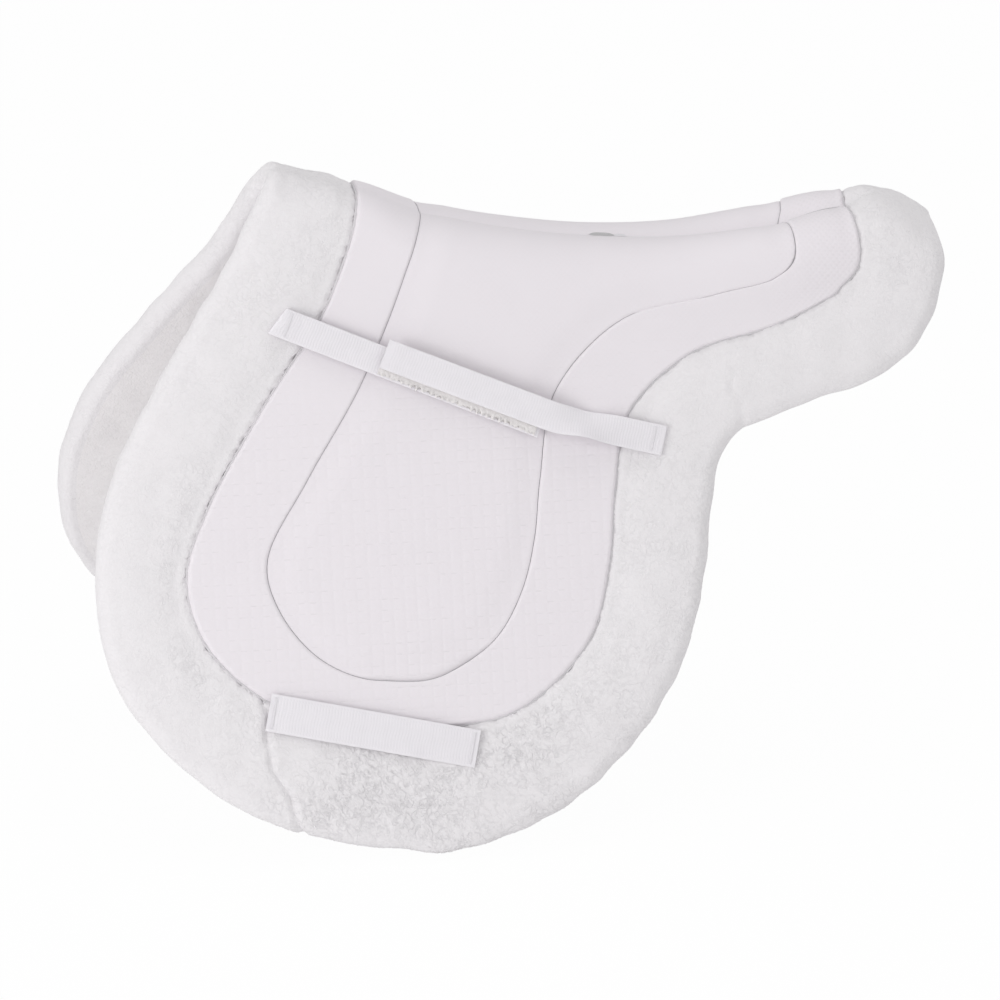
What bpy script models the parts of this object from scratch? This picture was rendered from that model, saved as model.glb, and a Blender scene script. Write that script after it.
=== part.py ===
"""Close contact saddle pad: a rolled fleece edge round quilted panels, with webbing straps.

The pad is drawn as a flat pattern and then bent over the horse's back. Metres, +Z up, withers at -X,
the horse's left side at -Y. The origin is under the spine, at its lowest place.

A point of the pattern is (along, down, out). Along runs down the spine from the withers. Down is
measured along the cover from the spine seam. Out is square to the cover, with 0 on the cover's face.
The outlines below give "drop" in place of down: the distance from the line where the two flap planes
would meet, so a flap's outline keeps its true shape.
"""

import math

import bmesh
import bpy
import numpy as np

MM = 0.001
PAD_NAME = "close_contact_saddle_pad"

# Overall size of the flat pattern: along the spine from edge to edge, and down to the foot of a flap.
# The places in the tables below move with these.
PAD_LENGTH = 729.0 * MM
PAD_DEPTH = 609.0 * MM

# Layers, from the face inwards
COVER = 4.0 * MM
FOAM = 10.8 * MM
LINING = 9.0 * MM
LAYER_GAP = 0.6 * MM
FOAM_TOP = -COVER - LAYER_GAP
FOAM_BOTTOM = FOAM_TOP - FOAM
LINING_TOP = FOAM_BOTTOM - LAYER_GAP
LINING_BOTTOM = LINING_TOP - LINING
THICKNESS = -LINING_BOTTOM

# Crowns and drawn-in edges of the padded pieces
ROLL_CROWN = 4.0 * MM
ROLL_NOSE = 12.0 * MM
ROLL_GROOVE = 7.0 * MM
ROLL_WRAP = 14.0 * MM
BAND_CROWN = 1.2 * MM
BAND_EDGE = 2.4 * MM
SEAT_CROWN = 2.0 * MM
SEAT_EDGE = 2.2 * MM
SHOULDER = 6.0 * MM
CUSHION = 22.0 * MM
SEW_GAP = 0.5 * MM
RIM_GAP = 1.5 * MM
SEAT_GAP = 0.3 * MM

# How the pad hangs over the back
FLAP_TILT = math.radians(22.0)
BACK_RADIUS = (
    (-0.318, 0.005),
    (-0.246, 0.010),
    (-0.187, 0.025),
    (-0.119, 0.036),
    (-0.045, 0.043),
    (0.030, 0.046),
    (0.100, 0.044),
    (0.163, 0.035),
    (0.250, 0.032),
)

# How far each half puffs up beside the sewn-down spine seam, and how the ends of the spine lift
SEAM_PUFF = (
    (-0.316, 0.004),
    (-0.190, 0.006),
    (-0.050, 0.006),
    (0.030, 0.009),
    (0.080, 0.013),
    (0.120, 0.015),
    (0.150, 0.013),
    (0.180, 0.009),
    (0.210, 0.003),
    (0.250, 0.0),
)
END_LIFT = (
    (-0.316, 0.014),
    (-0.298, 0.007),
    (-0.281, 0.003),
    (-0.262, 0.002),
    (-0.240, 0.0),
    (0.165, 0.0),
    (0.190, 0.007),
    (0.212, 0.003),
    (0.245, -0.012),
)
PUFF_DOWN = 90.0 * MM

FOLD_DOWN = 60.0 * MM
FOLD_GAP = 1.0 * MM
FOLD_HEIGHT = 40.0 * MM
BEND_STEP = 12.0 * MM
BEND_DOWN = 96.0 * MM
ALONG_STEP = 30.0 * MM
LEAN = 0.3

# The edge, from the withers round the flap to the cantle: edge along and drop, the roll's width, and
# the inner seam's along and drop. The first and last rows lie on the spine seam, so have no drop.
EDGE = (
    (-0.316, None, 0.075, -0.187, None),
    (-0.344, 0.097, 0.088, -0.206, 0.130),
    (-0.408, 0.195, 0.087, -0.246, 0.217),
    (-0.460, 0.288, 0.084, -0.297, 0.298),
    (-0.478, 0.371, 0.076, -0.334, 0.364),
    (-0.465, 0.461, 0.082, -0.326, 0.405),
    (-0.402, 0.543, 0.088, -0.295, 0.446),
    (-0.319, 0.591, 0.097, -0.255, 0.466),
    (-0.236, 0.609, 0.099, -0.214, 0.470),
    (-0.145, 0.604, 0.095, -0.172, 0.457),
    (-0.070, 0.566, 0.083, -0.142, 0.434),
    (0.002, 0.486, 0.078, -0.120, 0.396),
    (0.034, 0.398, 0.081, -0.108, 0.354),
    (0.044, 0.335, 0.083, -0.101, 0.306),
    (0.055, 0.292, 0.085, -0.084, 0.233),
    (0.070, 0.276, 0.079, -0.022, 0.175),
    (0.111, 0.260, 0.073, 0.056, 0.160),
    (0.180, 0.240, 0.081, 0.106, 0.150),
    (0.226, 0.208, 0.083, 0.1225, 0.137),
    (0.251, 0.148, 0.074, 0.1215, 0.100),
    (0.248, None, 0.075, 0.117, None),
)
SPAN_STEPS = 3
FOOT_SEAM = (7.05, 6.1)
WAIST_SEAM = (15.15, 15.5)
ROLL_SEAM = 0.012
SLANT_ROWS = 2.0
CAP_SPANS = 3

# Webbing straps
WEBBING = 1.8 * MM
TAPE = 1.2 * MM
TAPE_GAP = 0.4 * MM
TAPE_MARGIN = 3.0 * MM
BILLET_WIDTH = 25.4 * MM
GIRTH_WIDTH = 32.0 * MM
STRAP_LIFT = 10.0 * MM
GIRTH_LIFT = 10.0 * MM
ANCHOR_LENGTH = 20.0 * MM
STRAP_STEP = 14.0 * MM
FRONT_BILLET = ((-0.316, 0.163), (-0.098, 0.260))
REAR_BILLET = ((0.005, 0.280), (-0.040, 0.268), (-0.087, 0.256), (-0.228, 0.195))
GIRTH_STRAP = ((-0.340, 0.489), (-0.253, 0.509), (-0.166, 0.529))
GIRTH_SEWN = 9.0 * MM
TACK_WIDTH = 2.2 * MM
TACK_HEIGHT = 0.8 * MM
TACK_MARGIN = 2.0 * MM

# How much of the roll's crown lies under each sewn end of a strap
FRONT_SEAT = 0.785
REAR_SEAT = 0.86
GIRTH_SEAT = 0.80

# How far the tables' places move with the pad's size
LENGTHEN = PAD_LENGTH / (max(row[0] for row in EDGE) - min(row[0] for row in EDGE))
DEEPEN = PAD_DEPTH / max(row[1] for row in EDGE if row[1])

# The ridge where the flap planes meet, over the spine's lowest place
RADIUS_TO_SEAM = 1.0 / math.sin(FLAP_TILT) - 1.0
SEAM_DROP = 1.0 / math.tan(FLAP_TILT) - (math.pi / 2.0 - FLAP_TILT)
FIT_RADIUS = max(radius for along, radius in BACK_RADIUS)
RIDGE_HEIGHT = THICKNESS + RADIUS_TO_SEAM * (FIT_RADIUS + THICKNESS)
SHARP_ANGLE = math.radians(40.0)

# A puff's height over share * (1 - share) ** 2, which peaks at 4 / 27
PUFF_SCALE = 27.0 / 4.0

# Heights of the straps over the cover's face
FRONT_REST = FRONT_SEAT * ROLL_CROWN + SEAT_GAP
REAR_REST = REAR_SEAT * ROLL_CROWN + SEAT_GAP
GIRTH_REST = GIRTH_SEAT * ROLL_CROWN + SEAT_GAP
ANCHOR = 2.0 * WEBBING + TAPE_GAP
TAPE_STACK = 2.0 * TAPE + WEBBING + 3.0 * TAPE_GAP
BILLETS = (("front", FRONT_BILLET, FRONT_REST), ("rear", REAR_BILLET, REAR_REST))

MATERIALS = {
    "fleece": ((0.86, 0.85, 0.86), 0.95),
    "lining_fleece": ((0.84, 0.82, 0.80), 0.95),
    "quilted_cotton": ((0.84, 0.82, 0.85), 0.85),
    "foam": ((0.90, 0.88, 0.80), 0.90),
    "webbing": ((0.85, 0.83, 0.86), 0.70),
    "hook_tape": ((0.80, 0.79, 0.81), 0.80),
    "thread": ((0.88, 0.88, 0.90), 0.60),
}


def empty_the_scene():
    """Remove what a new file holds."""
    for thing in list(bpy.data.objects):
        bpy.data.objects.remove(thing, do_unlink=True)


def profile(table, along):
    """A smooth curve through (along, value) rows, level past both ends."""
    stations, values = np.array(table).T
    stations = stations * LENGTHEN
    rises = np.diff(values) / np.diff(stations)
    before, after = rises[:-1], rises[1:]
    climbing = before * after > 0
    slopes = np.zeros(len(values))
    slopes[1:-1][climbing] = 2 * (before * after)[climbing] / (before + after)[climbing]
    along = np.clip(along, stations[0], stations[-1])
    span = np.clip(np.searchsorted(stations, along) - 1, 0, len(stations) - 2)
    width = stations[span + 1] - stations[span]
    t = (along - stations[span]) / width
    start = (1 + 2 * t) * (1 - t) ** 2 * values[span]
    end = t * t * (3 - 2 * t) * values[span + 1]
    leave = t * (1 - t) ** 2 * width * slopes[span]
    arrive = t * t * (t - 1) * width * slopes[span + 1]
    return start + end + leave + arrive


def ease(share):
    """A smooth step from 0 to 1."""
    share = np.clip(share, 0.0, 1.0)
    return share * share * (3 - 2 * share)


def faceted(table, along):
    """A profile drawn straight between the places where the layers are sliced, so that they nest."""
    alongs = np.asarray(along, float)
    steps = np.arange(math.floor(alongs.min() / ALONG_STEP), math.ceil(alongs.max() / ALONG_STEP) + 2)
    return np.interp(alongs, steps * ALONG_STEP, profile(table, steps * ALONG_STEP))


def cover_radius(along):
    """Radius of the bend over the back, at the cover's face."""
    return faceted(BACK_RADIUS, along) + THICKNESS


def down_from_drop(along, drop):
    """Distance from the spine seam of a point given by its drop."""
    return drop - SEAM_DROP * cover_radius(along)


def on_the_pad(along, drop):
    """A table's place, moved with the pad's size: down from the spine seam grows as the depth does."""
    along = along * LENGTHEN
    return along, float(drop * DEEPEN + (1 - DEEPEN) * SEAM_DROP * cover_radius(along))


def hang(along, down, out):
    """Place pattern points of the right side over the back."""
    radius = cover_radius(along)
    centre = RIDGE_HEIGHT - radius / math.sin(FLAP_TILT)
    turn = np.minimum(down / radius, math.pi / 2 - FLAP_TILT)
    straight = down - turn * radius
    share = np.minimum(down / PUFF_DOWN, 1.0)
    out = out + faceted(SEAM_PUFF, along) * PUFF_SCALE * share * (1 - share) ** 2
    across = (radius + out) * np.sin(turn) + straight * np.cos(turn)
    height = centre + (radius + out) * np.cos(turn) - straight * np.sin(turn)
    height = height + faceted(END_LIFT, along) * (1 - ease(share))
    return np.column_stack((along, across, height))


def bend(points):
    """Bend pattern points over the back in flat facets; down is negative on the left side."""
    along, down, out = np.asarray(points, float).T
    side = np.where(down < 0, -1.0, 1.0)
    down = np.abs(down)
    upper = np.minimum(np.floor(down / BEND_STEP) * BEND_STEP, BEND_DOWN)
    lower = np.where(upper < BEND_DOWN, upper + BEND_STEP, down + BEND_STEP)
    share = ((down - upper) / (lower - upper))[:, None]
    places = hang(along, upper, out) * (1 - share) + hang(along, lower, out) * share
    places[:, 1] *= side
    return places


def smooth_curve(knots, steps):
    """A cubic through (along, down) knots that meets the spine squarely at both ends."""
    knots = np.asarray(knots, float)
    mirrored = knots[[1, -2]] * (1, -1)
    knots = np.vstack((mirrored[:1], knots, mirrored[1:]))
    lengths = np.linalg.norm(np.diff(knots, axis=0), axis=1)
    marks = np.concatenate(([0], np.cumsum(np.sqrt(lengths))))
    slopes = np.gradient(knots, marks, axis=0)
    curve = []
    for index in range(1, len(knots) - 2):
        width = marks[index + 1] - marks[index]
        for step in range(steps):
            t = step / steps
            start = (1 + 2 * t) * (1 - t) ** 2 * knots[index]
            end = t * t * (3 - 2 * t) * knots[index + 1]
            leave = t * (1 - t) ** 2 * width * slopes[index]
            arrive = t * t * (t - 1) * width * slopes[index + 1]
            curve.append(start + end + leave + arrive)
    curve.append(knots[-2])
    return np.array(curve)


def knots_from(alongs, drops):
    """Knots in (along, down); a missing drop means the spine seam."""
    knots = []
    for along, drop in zip(alongs, drops):
        place, moved = on_the_pad(along, 0.0 if drop is None else drop)
        knots.append((place, 0.0 if drop is None else float(down_from_drop(place, moved))))
    return knots


def inward(curve):
    """Unit directions across the edge, towards the pad's middle."""
    heading = np.gradient(curve, axis=0)
    heading[[0, -1], 0] = 0.0
    heading[0, 1], heading[-1, 1] = 1.0, -1.0
    heading /= np.linalg.norm(heading, axis=1)[:, None]
    return np.column_stack((heading[:, 1], -heading[:, 0]))


class Pattern:
    """The outlines of one side, sampled together from the withers to the cantle."""

    def __init__(self):
        alongs, drops, widths, seam_alongs, seam_drops = zip(*EDGE)
        edge_knots = np.array(knots_from(alongs, drops))
        self.edge = smooth_curve(edge_knots, SPAN_STEPS)
        across = inward(self.edge)[::SPAN_STEPS]
        self.groove = smooth_curve(edge_knots + across * np.array(widths)[:, None], SPAN_STEPS)
        self.seam = smooth_curve(knots_from(seam_alongs, seam_drops), SPAN_STEPS)

    def towards_groove(self):
        across = self.groove - self.edge
        width = np.linalg.norm(across, axis=1)[:, None]
        return across / width, width[:, 0]

    def towards_seam(self):
        across = self.seam - self.groove
        width = np.linalg.norm(across, axis=1)[:, None]
        return across / width, width[:, 0]


def roll_section(width):
    """Outline (across from the edge, out) of the rolled edge, which wraps the lining's rim."""
    groove_top = -ROLL_GROOVE
    return (
        (ROLL_WRAP, LINING_BOTTOM),
        (0.40 * ROLL_NOSE, LINING_BOTTOM + 0.04 * THICKNESS),
        (0.10 * ROLL_NOSE, LINING_BOTTOM + 0.22 * THICKNESS),
        (0.0, -0.46 * THICKNESS),
        (0.12 * ROLL_NOSE, -0.18 * THICKNESS),
        (0.60 * ROLL_NOSE, 0.20 * ROLL_CROWN),
        (0.26 * width, 0.90 * ROLL_CROWN),
        (0.50 * width, ROLL_CROWN),
        (0.74 * width, 0.62 * ROLL_CROWN),
        (width - SHOULDER, 0.24 * groove_top),
        (width, groove_top),
        (width, FOAM_BOTTOM),
        (ROLL_WRAP, FOAM_BOTTOM),
    )


def band_section(width):
    """Outline (across from the groove, out) of the quilted band, drawn in at both seams."""
    far = width - SEW_GAP
    return (
        (SEW_GAP, -COVER),
        (SEW_GAP, -BAND_EDGE),
        (SEW_GAP + SHOULDER, 0.3 * BAND_CROWN),
        (0.35 * width, BAND_CROWN),
        (0.65 * width, BAND_CROWN),
        (far - SHOULDER, 0.3 * BAND_CROWN),
        (far, -BAND_EDGE),
        (far, -COVER),
    )


def loft(rings, open_start=False):
    """A closed body through rings of pattern points; an open start is left for mirroring."""
    shape = bmesh.new()
    rows = [[shape.verts.new(point) for point in ring] for ring in rings]
    for row, following in zip(rows[:-1], rows[1:]):
        for index, vertex in enumerate(row):
            beside = (index + 1) % len(row)
            shape.faces.new((vertex, row[beside], following[beside], following[index]))
    if not open_start:
        shape.faces.new(rows[0][::-1])
    shape.faces.new(rows[-1])
    bmesh.ops.recalc_face_normals(shape, faces=shape.faces)
    return shape


def strip(start, across, widths, section, first, last):
    """Loft a section along the edge. Each end is a pair of places in the edge table, counted in
    rows: one at the section's outer side and one at its inner side, so that an end may slant."""
    places = np.arange(len(start)) / SPAN_STEPS
    marks = [mark for mark in places if first[1] < mark - MM and mark + MM < last[1]]
    for end in (first, last):
        slanted = [mark - 0.5 / SPAN_STEPS for mark in marks if abs(mark - end[1]) < SLANT_ROWS]
        if end[0] != end[1]:
            marks = sorted(set(marks).union(mark for mark in slanted if mark > first[1]))
    rings = []
    for mark in [first[1], *marks, last[1]]:
        slant = (first[0] - first[1]) * max(0.0, 1 - (mark - first[1]) / SLANT_ROWS)
        slant += (last[0] - last[1]) * max(0.0, 1 - (last[1] - mark) / SLANT_ROWS)
        width = np.interp(mark, places, widths)
        ring = []
        for w, out in section(width):
            place = mark + slant * (1 - w / width)
            base = [np.interp(place, places, start[:, axis]) for axis in range(2)]
            over = [np.interp(place, places, across[:, axis]) for axis in range(2)]
            # the outer and inner rims keep their own distances from the edge and the groove
            reach = w + (np.interp(place, places, widths) - width) * (w / width) ** 2
            ring.append((base[0] + over[0] * reach, base[1] + over[1] * reach, out))
        rings.append(ring)
    return loft(rings, open_start=first[0] == 0)


def plate(outline, top, bottom, crown=0.0, edge=0.0):
    """A flat body from an outline; the face is crowned and its rim drawn in by edge."""
    shape = bmesh.new()
    rim = [shape.verts.new((along, down, top - edge)) for along, down in outline]
    face = shape.faces.new(rim)
    face.normal_update()
    if face.normal.z < 0:
        face.normal_flip()
    base = bmesh.ops.extrude_face_region(shape, geom=[face])
    lowered = [item for item in base["geom"] if isinstance(item, bmesh.types.BMVert)]
    bmesh.ops.translate(shape, verts=lowered, vec=(0, 0, bottom - (top - edge)))
    upper = [item for item in shape.faces if all(v.co.z > bottom + 1e-6 for v in item.verts)]
    if edge:
        bmesh.ops.inset_region(shape, faces=upper, thickness=SHOULDER, use_even_offset=True)
        raise_faces(shape, upper, 0.85 * edge)
        bmesh.ops.inset_region(shape, faces=upper, thickness=CUSHION, use_even_offset=True)
        raise_faces(shape, upper, 0.15 * edge + crown)
    bmesh.ops.recalc_face_normals(shape, faces=shape.faces)
    return shape


def raise_faces(shape, faces, height):
    corners = list({corner for face in faces for corner in face.verts})
    bmesh.ops.translate(shape, verts=corners, vec=(0, 0, height))


def cut(shape, place, normal, open_cut=False):
    """Keep the part of a shape behind a plane, closing the cut unless it is left open."""
    geometry = list(shape.verts) + list(shape.edges) + list(shape.faces)
    result = bmesh.ops.bisect_plane(
        shape, geom=geometry, dist=1e-7, plane_co=place, plane_no=normal, clear_outer=True
    )
    rim = [item for item in result["geom_cut"] if isinstance(item, bmesh.types.BMEdge)]
    if rim and not open_cut:
        bmesh.ops.holes_fill(shape, edges=rim, sides=0)
        bmesh.ops.recalc_face_normals(shape, faces=shape.faces)
    return shape


def above_fold(shape):
    """The part that lies over the spine."""
    return cut(shape, (0, FOLD_DOWN - FOLD_GAP / 2, 0), (0, 1, 0))


def below_fold(shape):
    """The part that hangs with the flap."""
    return cut(shape, (0, FOLD_DOWN + FOLD_GAP / 2, 0), (0, -1, 0))


def off_the_spine(shape):
    """One half of a piece that the spine seam divides."""
    return cut(shape, (0, SEW_GAP / 2, 0), (0, -1, 0))


def across_spine(shape):
    """Join a half to its mirror image, for a piece that runs on over the spine."""
    cut(shape, (0, 0, 0), (0, -1, 0), open_cut=True)
    walls = [face for face in shape.faces if all(abs(v.co.y) < 1e-6 for v in face.verts)]
    bmesh.ops.delete(shape, geom=walls, context="FACES")
    geometry = list(shape.verts) + list(shape.edges) + list(shape.faces)
    copy = bmesh.ops.duplicate(shape, geom=geometry)["geom"]
    for item in copy:
        if isinstance(item, bmesh.types.BMVert):
            item.co.y = -item.co.y
    flipped = [item for item in copy if isinstance(item, bmesh.types.BMFace)]
    bmesh.ops.reverse_faces(shape, faces=flipped)
    bmesh.ops.remove_doubles(shape, verts=shape.verts, dist=1e-6)
    bmesh.ops.recalc_face_normals(shape, faces=shape.faces)
    return shape


def slice_for_bending(shape):
    """Cut the faces over the back small enough to follow the bend."""
    signs = (-1, 1) if any(corner.co.y < -1e-6 for corner in shape.verts) else (1,)
    for sign in signs:
        for step in range(1, round(BEND_DOWN / BEND_STEP) + 1):
            slice_at(shape, shape.faces, (0, sign * step * BEND_STEP, 0), (0, 1, 0))
    alongs = [corner.co.x for corner in shape.verts]
    first = math.ceil(min(alongs) / ALONG_STEP)
    for step in range(first, math.ceil(max(alongs) / ALONG_STEP)):
        bent = [f for f in shape.faces if max(abs(v.co.y) for v in f.verts) < BEND_DOWN + MM]
        slice_at(shape, bent, (step * ALONG_STEP, 0, 0), (1, 0, 0))
    # leaning the square cells makes one diagonal the shorter, so that layers split the same way
    places = [corner.co.copy() for corner in shape.verts]
    for corner in shape.verts:
        corner.co.x += LEAN * (abs(corner.co.y) + corner.co.z)
    corners = list(shape.verts)
    bmesh.ops.triangulate(shape, faces=shape.faces, quad_method="SHORT_EDGE")
    for corner, place in zip(corners, places):
        corner.co = place


def slice_at(shape, faces, place, normal):
    faces = list(faces)
    edges = list({edge for face in faces for edge in face.edges})
    corners = list({corner for face in faces for corner in face.verts})
    if faces:
        geometry = corners + edges + faces
        bmesh.ops.bisect_plane(shape, geom=geometry, dist=1e-6, plane_co=place, plane_no=normal)


def ribbon(route, outs, width, thickness):
    """A strap along pattern points (along, down); outs gives the height of its under face."""
    route = np.asarray(route)
    heading = np.gradient(route, axis=0)
    heading /= np.linalg.norm(heading, axis=1)[:, None]
    sideways = np.column_stack((-heading[:, 1], heading[:, 0]))
    lengths = np.concatenate(([0], np.cumsum(np.linalg.norm(np.diff(route, axis=0), axis=1))))
    slope = np.arctan(np.gradient(outs, lengths))
    slope[[0, -1]] = 0.0
    rings = []
    for point, over, ahead, out, lean in zip(route, sideways, heading, outs, slope):
        low = np.array((*point, out))
        up = thickness * np.array((*(-ahead * math.sin(lean)), math.cos(lean)))
        side = np.array((*(over * width / 2), 0.0))
        rings.append([low - side, low + side, low + side + up, low - side + up])
    return loft(rings)


def strap_line(points):
    """A strap's places, moved with the pad's size."""
    return [on_the_pad(along, drop) for along, drop in points]


def strap_length(points):
    places = strap_line(points)
    return sum(math.dist(place, following) for place, following in zip(places[:-1], places[1:]))


def route_through(points, start, end, sewn=0.0):
    """Evenly spaced (along, drop) places of a strap between two lengths from its first point, with
    a place more at the inner side of each sewn end."""
    points = np.array(strap_line(points))
    lengths = np.concatenate(([0], np.cumsum(np.linalg.norm(np.diff(points, axis=0), axis=1))))
    count = max(1, round((end - start - 2 * sewn) / STRAP_STEP)) + 1
    marks = np.linspace(start + sewn, end - sewn, count)
    if sewn:
        marks = np.concatenate(([start], marks, [end]))
    alongs = np.interp(marks, lengths, points[:, 0])
    drops = np.interp(marks, lengths, points[:, 1])
    return alongs, drops


def arch(share):
    """Rise of a strap that is sewn down at both ends, from 0 at the ends to 1."""
    return 1.0 - (2.0 * share - 1.0) ** 4


def anchor_edge(points):
    """Where a billet strap leaves its sewn end, as (along, drop)."""
    alongs, drops = route_through(points, ANCHOR_LENGTH, strap_length(points))
    return alongs[0], drops[0]


def front_billet_out(alongs):
    """Height of the front strap's under face."""
    first, last = anchor_edge(FRONT_BILLET)[0], anchor_edge(REAR_BILLET)[0]
    share = np.clip((alongs - first) / (last - first), 0.0, 1.0)
    rest = FRONT_REST + (REAR_REST - FRONT_REST) * share
    return rest + ANCHOR - WEBBING + STRAP_LIFT * arch(share)


def rear_billet_out(alongs):
    """Height of the rear strap's under face, which clears the front strap and the tapes."""
    lap_end = strap_line(FRONT_BILLET)[-1][0]
    lap = 1.0 - ease((alongs - lap_end) / (anchor_edge(REAR_BILLET)[0] - lap_end))
    return front_billet_out(alongs) + TAPE_STACK * lap


def girth_out(alongs):
    """Height of the girth strap's under face: level at its sewn ends and arched between them."""
    length = strap_length(GIRTH_STRAP)
    places = strap_line(GIRTH_STRAP)
    first, last = places[0][0], places[-1][0]
    distance = (alongs - first) / (last - first) * length
    share = np.clip((distance - GIRTH_SEWN) / (length - 2 * GIRTH_SEWN), 0.0, 1.0)
    return GIRTH_REST + GIRTH_LIFT * arch(share)


def level(out):
    """A strap's height that doesn't change along it."""
    return lambda alongs: np.full(len(alongs), out)


def strap(points, start, end, out, width, thickness, sewn=0.0):
    """A length of webbing or tape; out gives the height of its under face at places along."""
    alongs, drops = route_through(points, start, end, sewn)
    # a strap's own planar pattern keeps its edges straight, so it is built in drop and then moved
    shape = ribbon(np.column_stack((alongs, drops)), out(alongs), width, thickness)
    for corner in shape.verts:
        corner.co.y = float(down_from_drop(corner.co.x, corner.co.y))
    return shape


def bar_tack(points, mark, width, out):
    """A bar of stitching across a strap, at a length from the strap's sewn end."""
    ends = (mark - TACK_WIDTH / 2, mark + TACK_WIDTH / 2)
    return strap(points, *ends, level(out + SEAT_GAP), width - 2 * TACK_MARGIN, TACK_HEIGHT)


def make_materials():
    made = {}
    for name, (colour, roughness) in MATERIALS.items():
        material = bpy.data.materials.new(name)
        material.use_nodes = True
        shader = material.node_tree.nodes["Principled BSDF"]
        shader.inputs["Base Color"].default_value = (*colour, 1.0)
        shader.inputs["Roughness"].default_value = roughness
        shader.inputs["Metallic"].default_value = 0.0
        made[name] = material
    return made


class Workshop:
    """Hangs shapes over the back and puts them in the pad's collection."""

    def __init__(self):
        self.materials = make_materials()
        self.collection = bpy.data.collections.new(PAD_NAME)
        bpy.context.scene.collection.children.link(self.collection)
        self.axes = {}

    def axis(self, name, place):
        """An empty on a joint's axis."""
        marker = bpy.data.objects.new(name, None)
        marker.location = place
        marker.empty_display_size = 0.03
        self.collection.objects.link(marker)
        self.axes[name] = marker
        return marker

    def add(self, name, shape, material, side=1, axis=None):
        """Bend a shape, mirror it for the left side, and place it from its joint's axis."""
        slice_for_bending(shape)
        corners = np.array([corner.co for corner in shape.verts])
        bent = bend(corners)
        if side < 0:
            bent[:, 1] *= -1
            bmesh.ops.reverse_faces(shape, faces=shape.faces)
        origin = np.array(self.axes[axis].location) if axis else np.zeros(3)
        for corner, place in zip(shape.verts, bent - origin):
            corner.co = place
        mesh = bpy.data.meshes.new(name)
        shape.to_mesh(mesh)
        shape.free()
        mesh.shade_smooth()
        mesh.set_sharp_from_angle(angle=SHARP_ANGLE)
        mesh.materials.append(self.materials[material])
        piece = bpy.data.objects.new(name, mesh)
        self.collection.objects.link(piece)
        if axis:
            piece.parent = self.axes[axis]
        return piece


def roll(pattern, first, last):
    across, widths = pattern.towards_groove()
    return strip(pattern.edge, across, widths, roll_section, first, last)


def band(pattern, first, last):
    across, widths = pattern.towards_seam()
    return strip(pattern.groove, across, widths, band_section, first, last)


def beyond(seam, step):
    """The places of a roll's end, just before or after a seam."""
    return tuple(place + step for place in seam)


def seat_outline(pattern):
    across, widths = pattern.towards_seam()
    return pattern.seam + across * SEW_GAP


def foam_outline(pattern):
    across, widths = pattern.towards_seam()
    return pattern.groove + across * SEW_GAP


def lining_outline(pattern):
    across, widths = pattern.towards_groove()
    return pattern.edge + across * (ROLL_WRAP + RIM_GAP)


def make_spine(workshop, pattern):
    """The pieces over the spine, down to the fold on each side."""
    last = len(EDGE) - 1
    ends = {"withers": (0, CAP_SPANS), "cantle": (last - CAP_SPANS, last)}
    for name, (first, final) in ends.items():
        first, final = (first, first), (final, final)
        roll_piece = across_spine(above_fold(roll(pattern, first, final)))
        workshop.add(name + "_roll", roll_piece, "fleece")
        band_piece = across_spine(above_fold(band(pattern, first, final)))
        workshop.add(name + "_band", band_piece, "quilted_cotton")
    foam = above_fold(plate(foam_outline(pattern), FOAM_TOP, FOAM_BOTTOM))
    workshop.add("spine_foam", across_spine(foam), "foam")
    lining = above_fold(plate(lining_outline(pattern), LINING_TOP, LINING_BOTTOM))
    workshop.add("spine_lining", across_spine(lining), "lining_fleece")
    for word, side in (("left", -1), ("right", 1)):
        seat = plate(seat_outline(pattern), 0.0, -COVER, SEAT_CROWN, SEAT_EDGE)
        workshop.add(word + "_seat_top", off_the_spine(above_fold(seat)), "quilted_cotton", side)


def make_side(workshop, pattern, word, side):
    """The padded pieces of one flap, below the fold."""
    fold = word + "_fold_axis"
    workshop.axis(fold, (0.0, 0.0, FOLD_HEIGHT))
    last = len(EDGE) - 1

    def hang(name, shape, material):
        workshop.add(word + "_" + name, shape, material, side, fold)

    before_foot, after_foot = beyond(FOOT_SEAM, -ROLL_SEAM), beyond(FOOT_SEAM, ROLL_SEAM)
    before_waist, after_waist = beyond(WAIST_SEAM, -ROLL_SEAM), beyond(WAIST_SEAM, ROLL_SEAM)
    hang("front_roll", below_fold(roll(pattern, (0, 0), before_foot)), "fleece")
    hang("flap_roll", roll(pattern, after_foot, before_waist), "fleece")
    hang("cantle_end_roll", below_fold(roll(pattern, after_waist, (last, last))), "fleece")
    hang("quilt_band", below_fold(band(pattern, (0, 0), (last, last))), "quilted_cotton")
    seat = plate(seat_outline(pattern), 0.0, -COVER, SEAT_CROWN, SEAT_EDGE)
    hang("seat_panel", below_fold(seat), "quilted_cotton")
    foam = plate(foam_outline(pattern), FOAM_TOP, FOAM_BOTTOM)
    hang("foam_core", below_fold(foam), "foam")
    lining = plate(lining_outline(pattern), LINING_TOP, LINING_BOTTOM)
    hang("fleece_lining", below_fold(lining), "lining_fleece")


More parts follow.
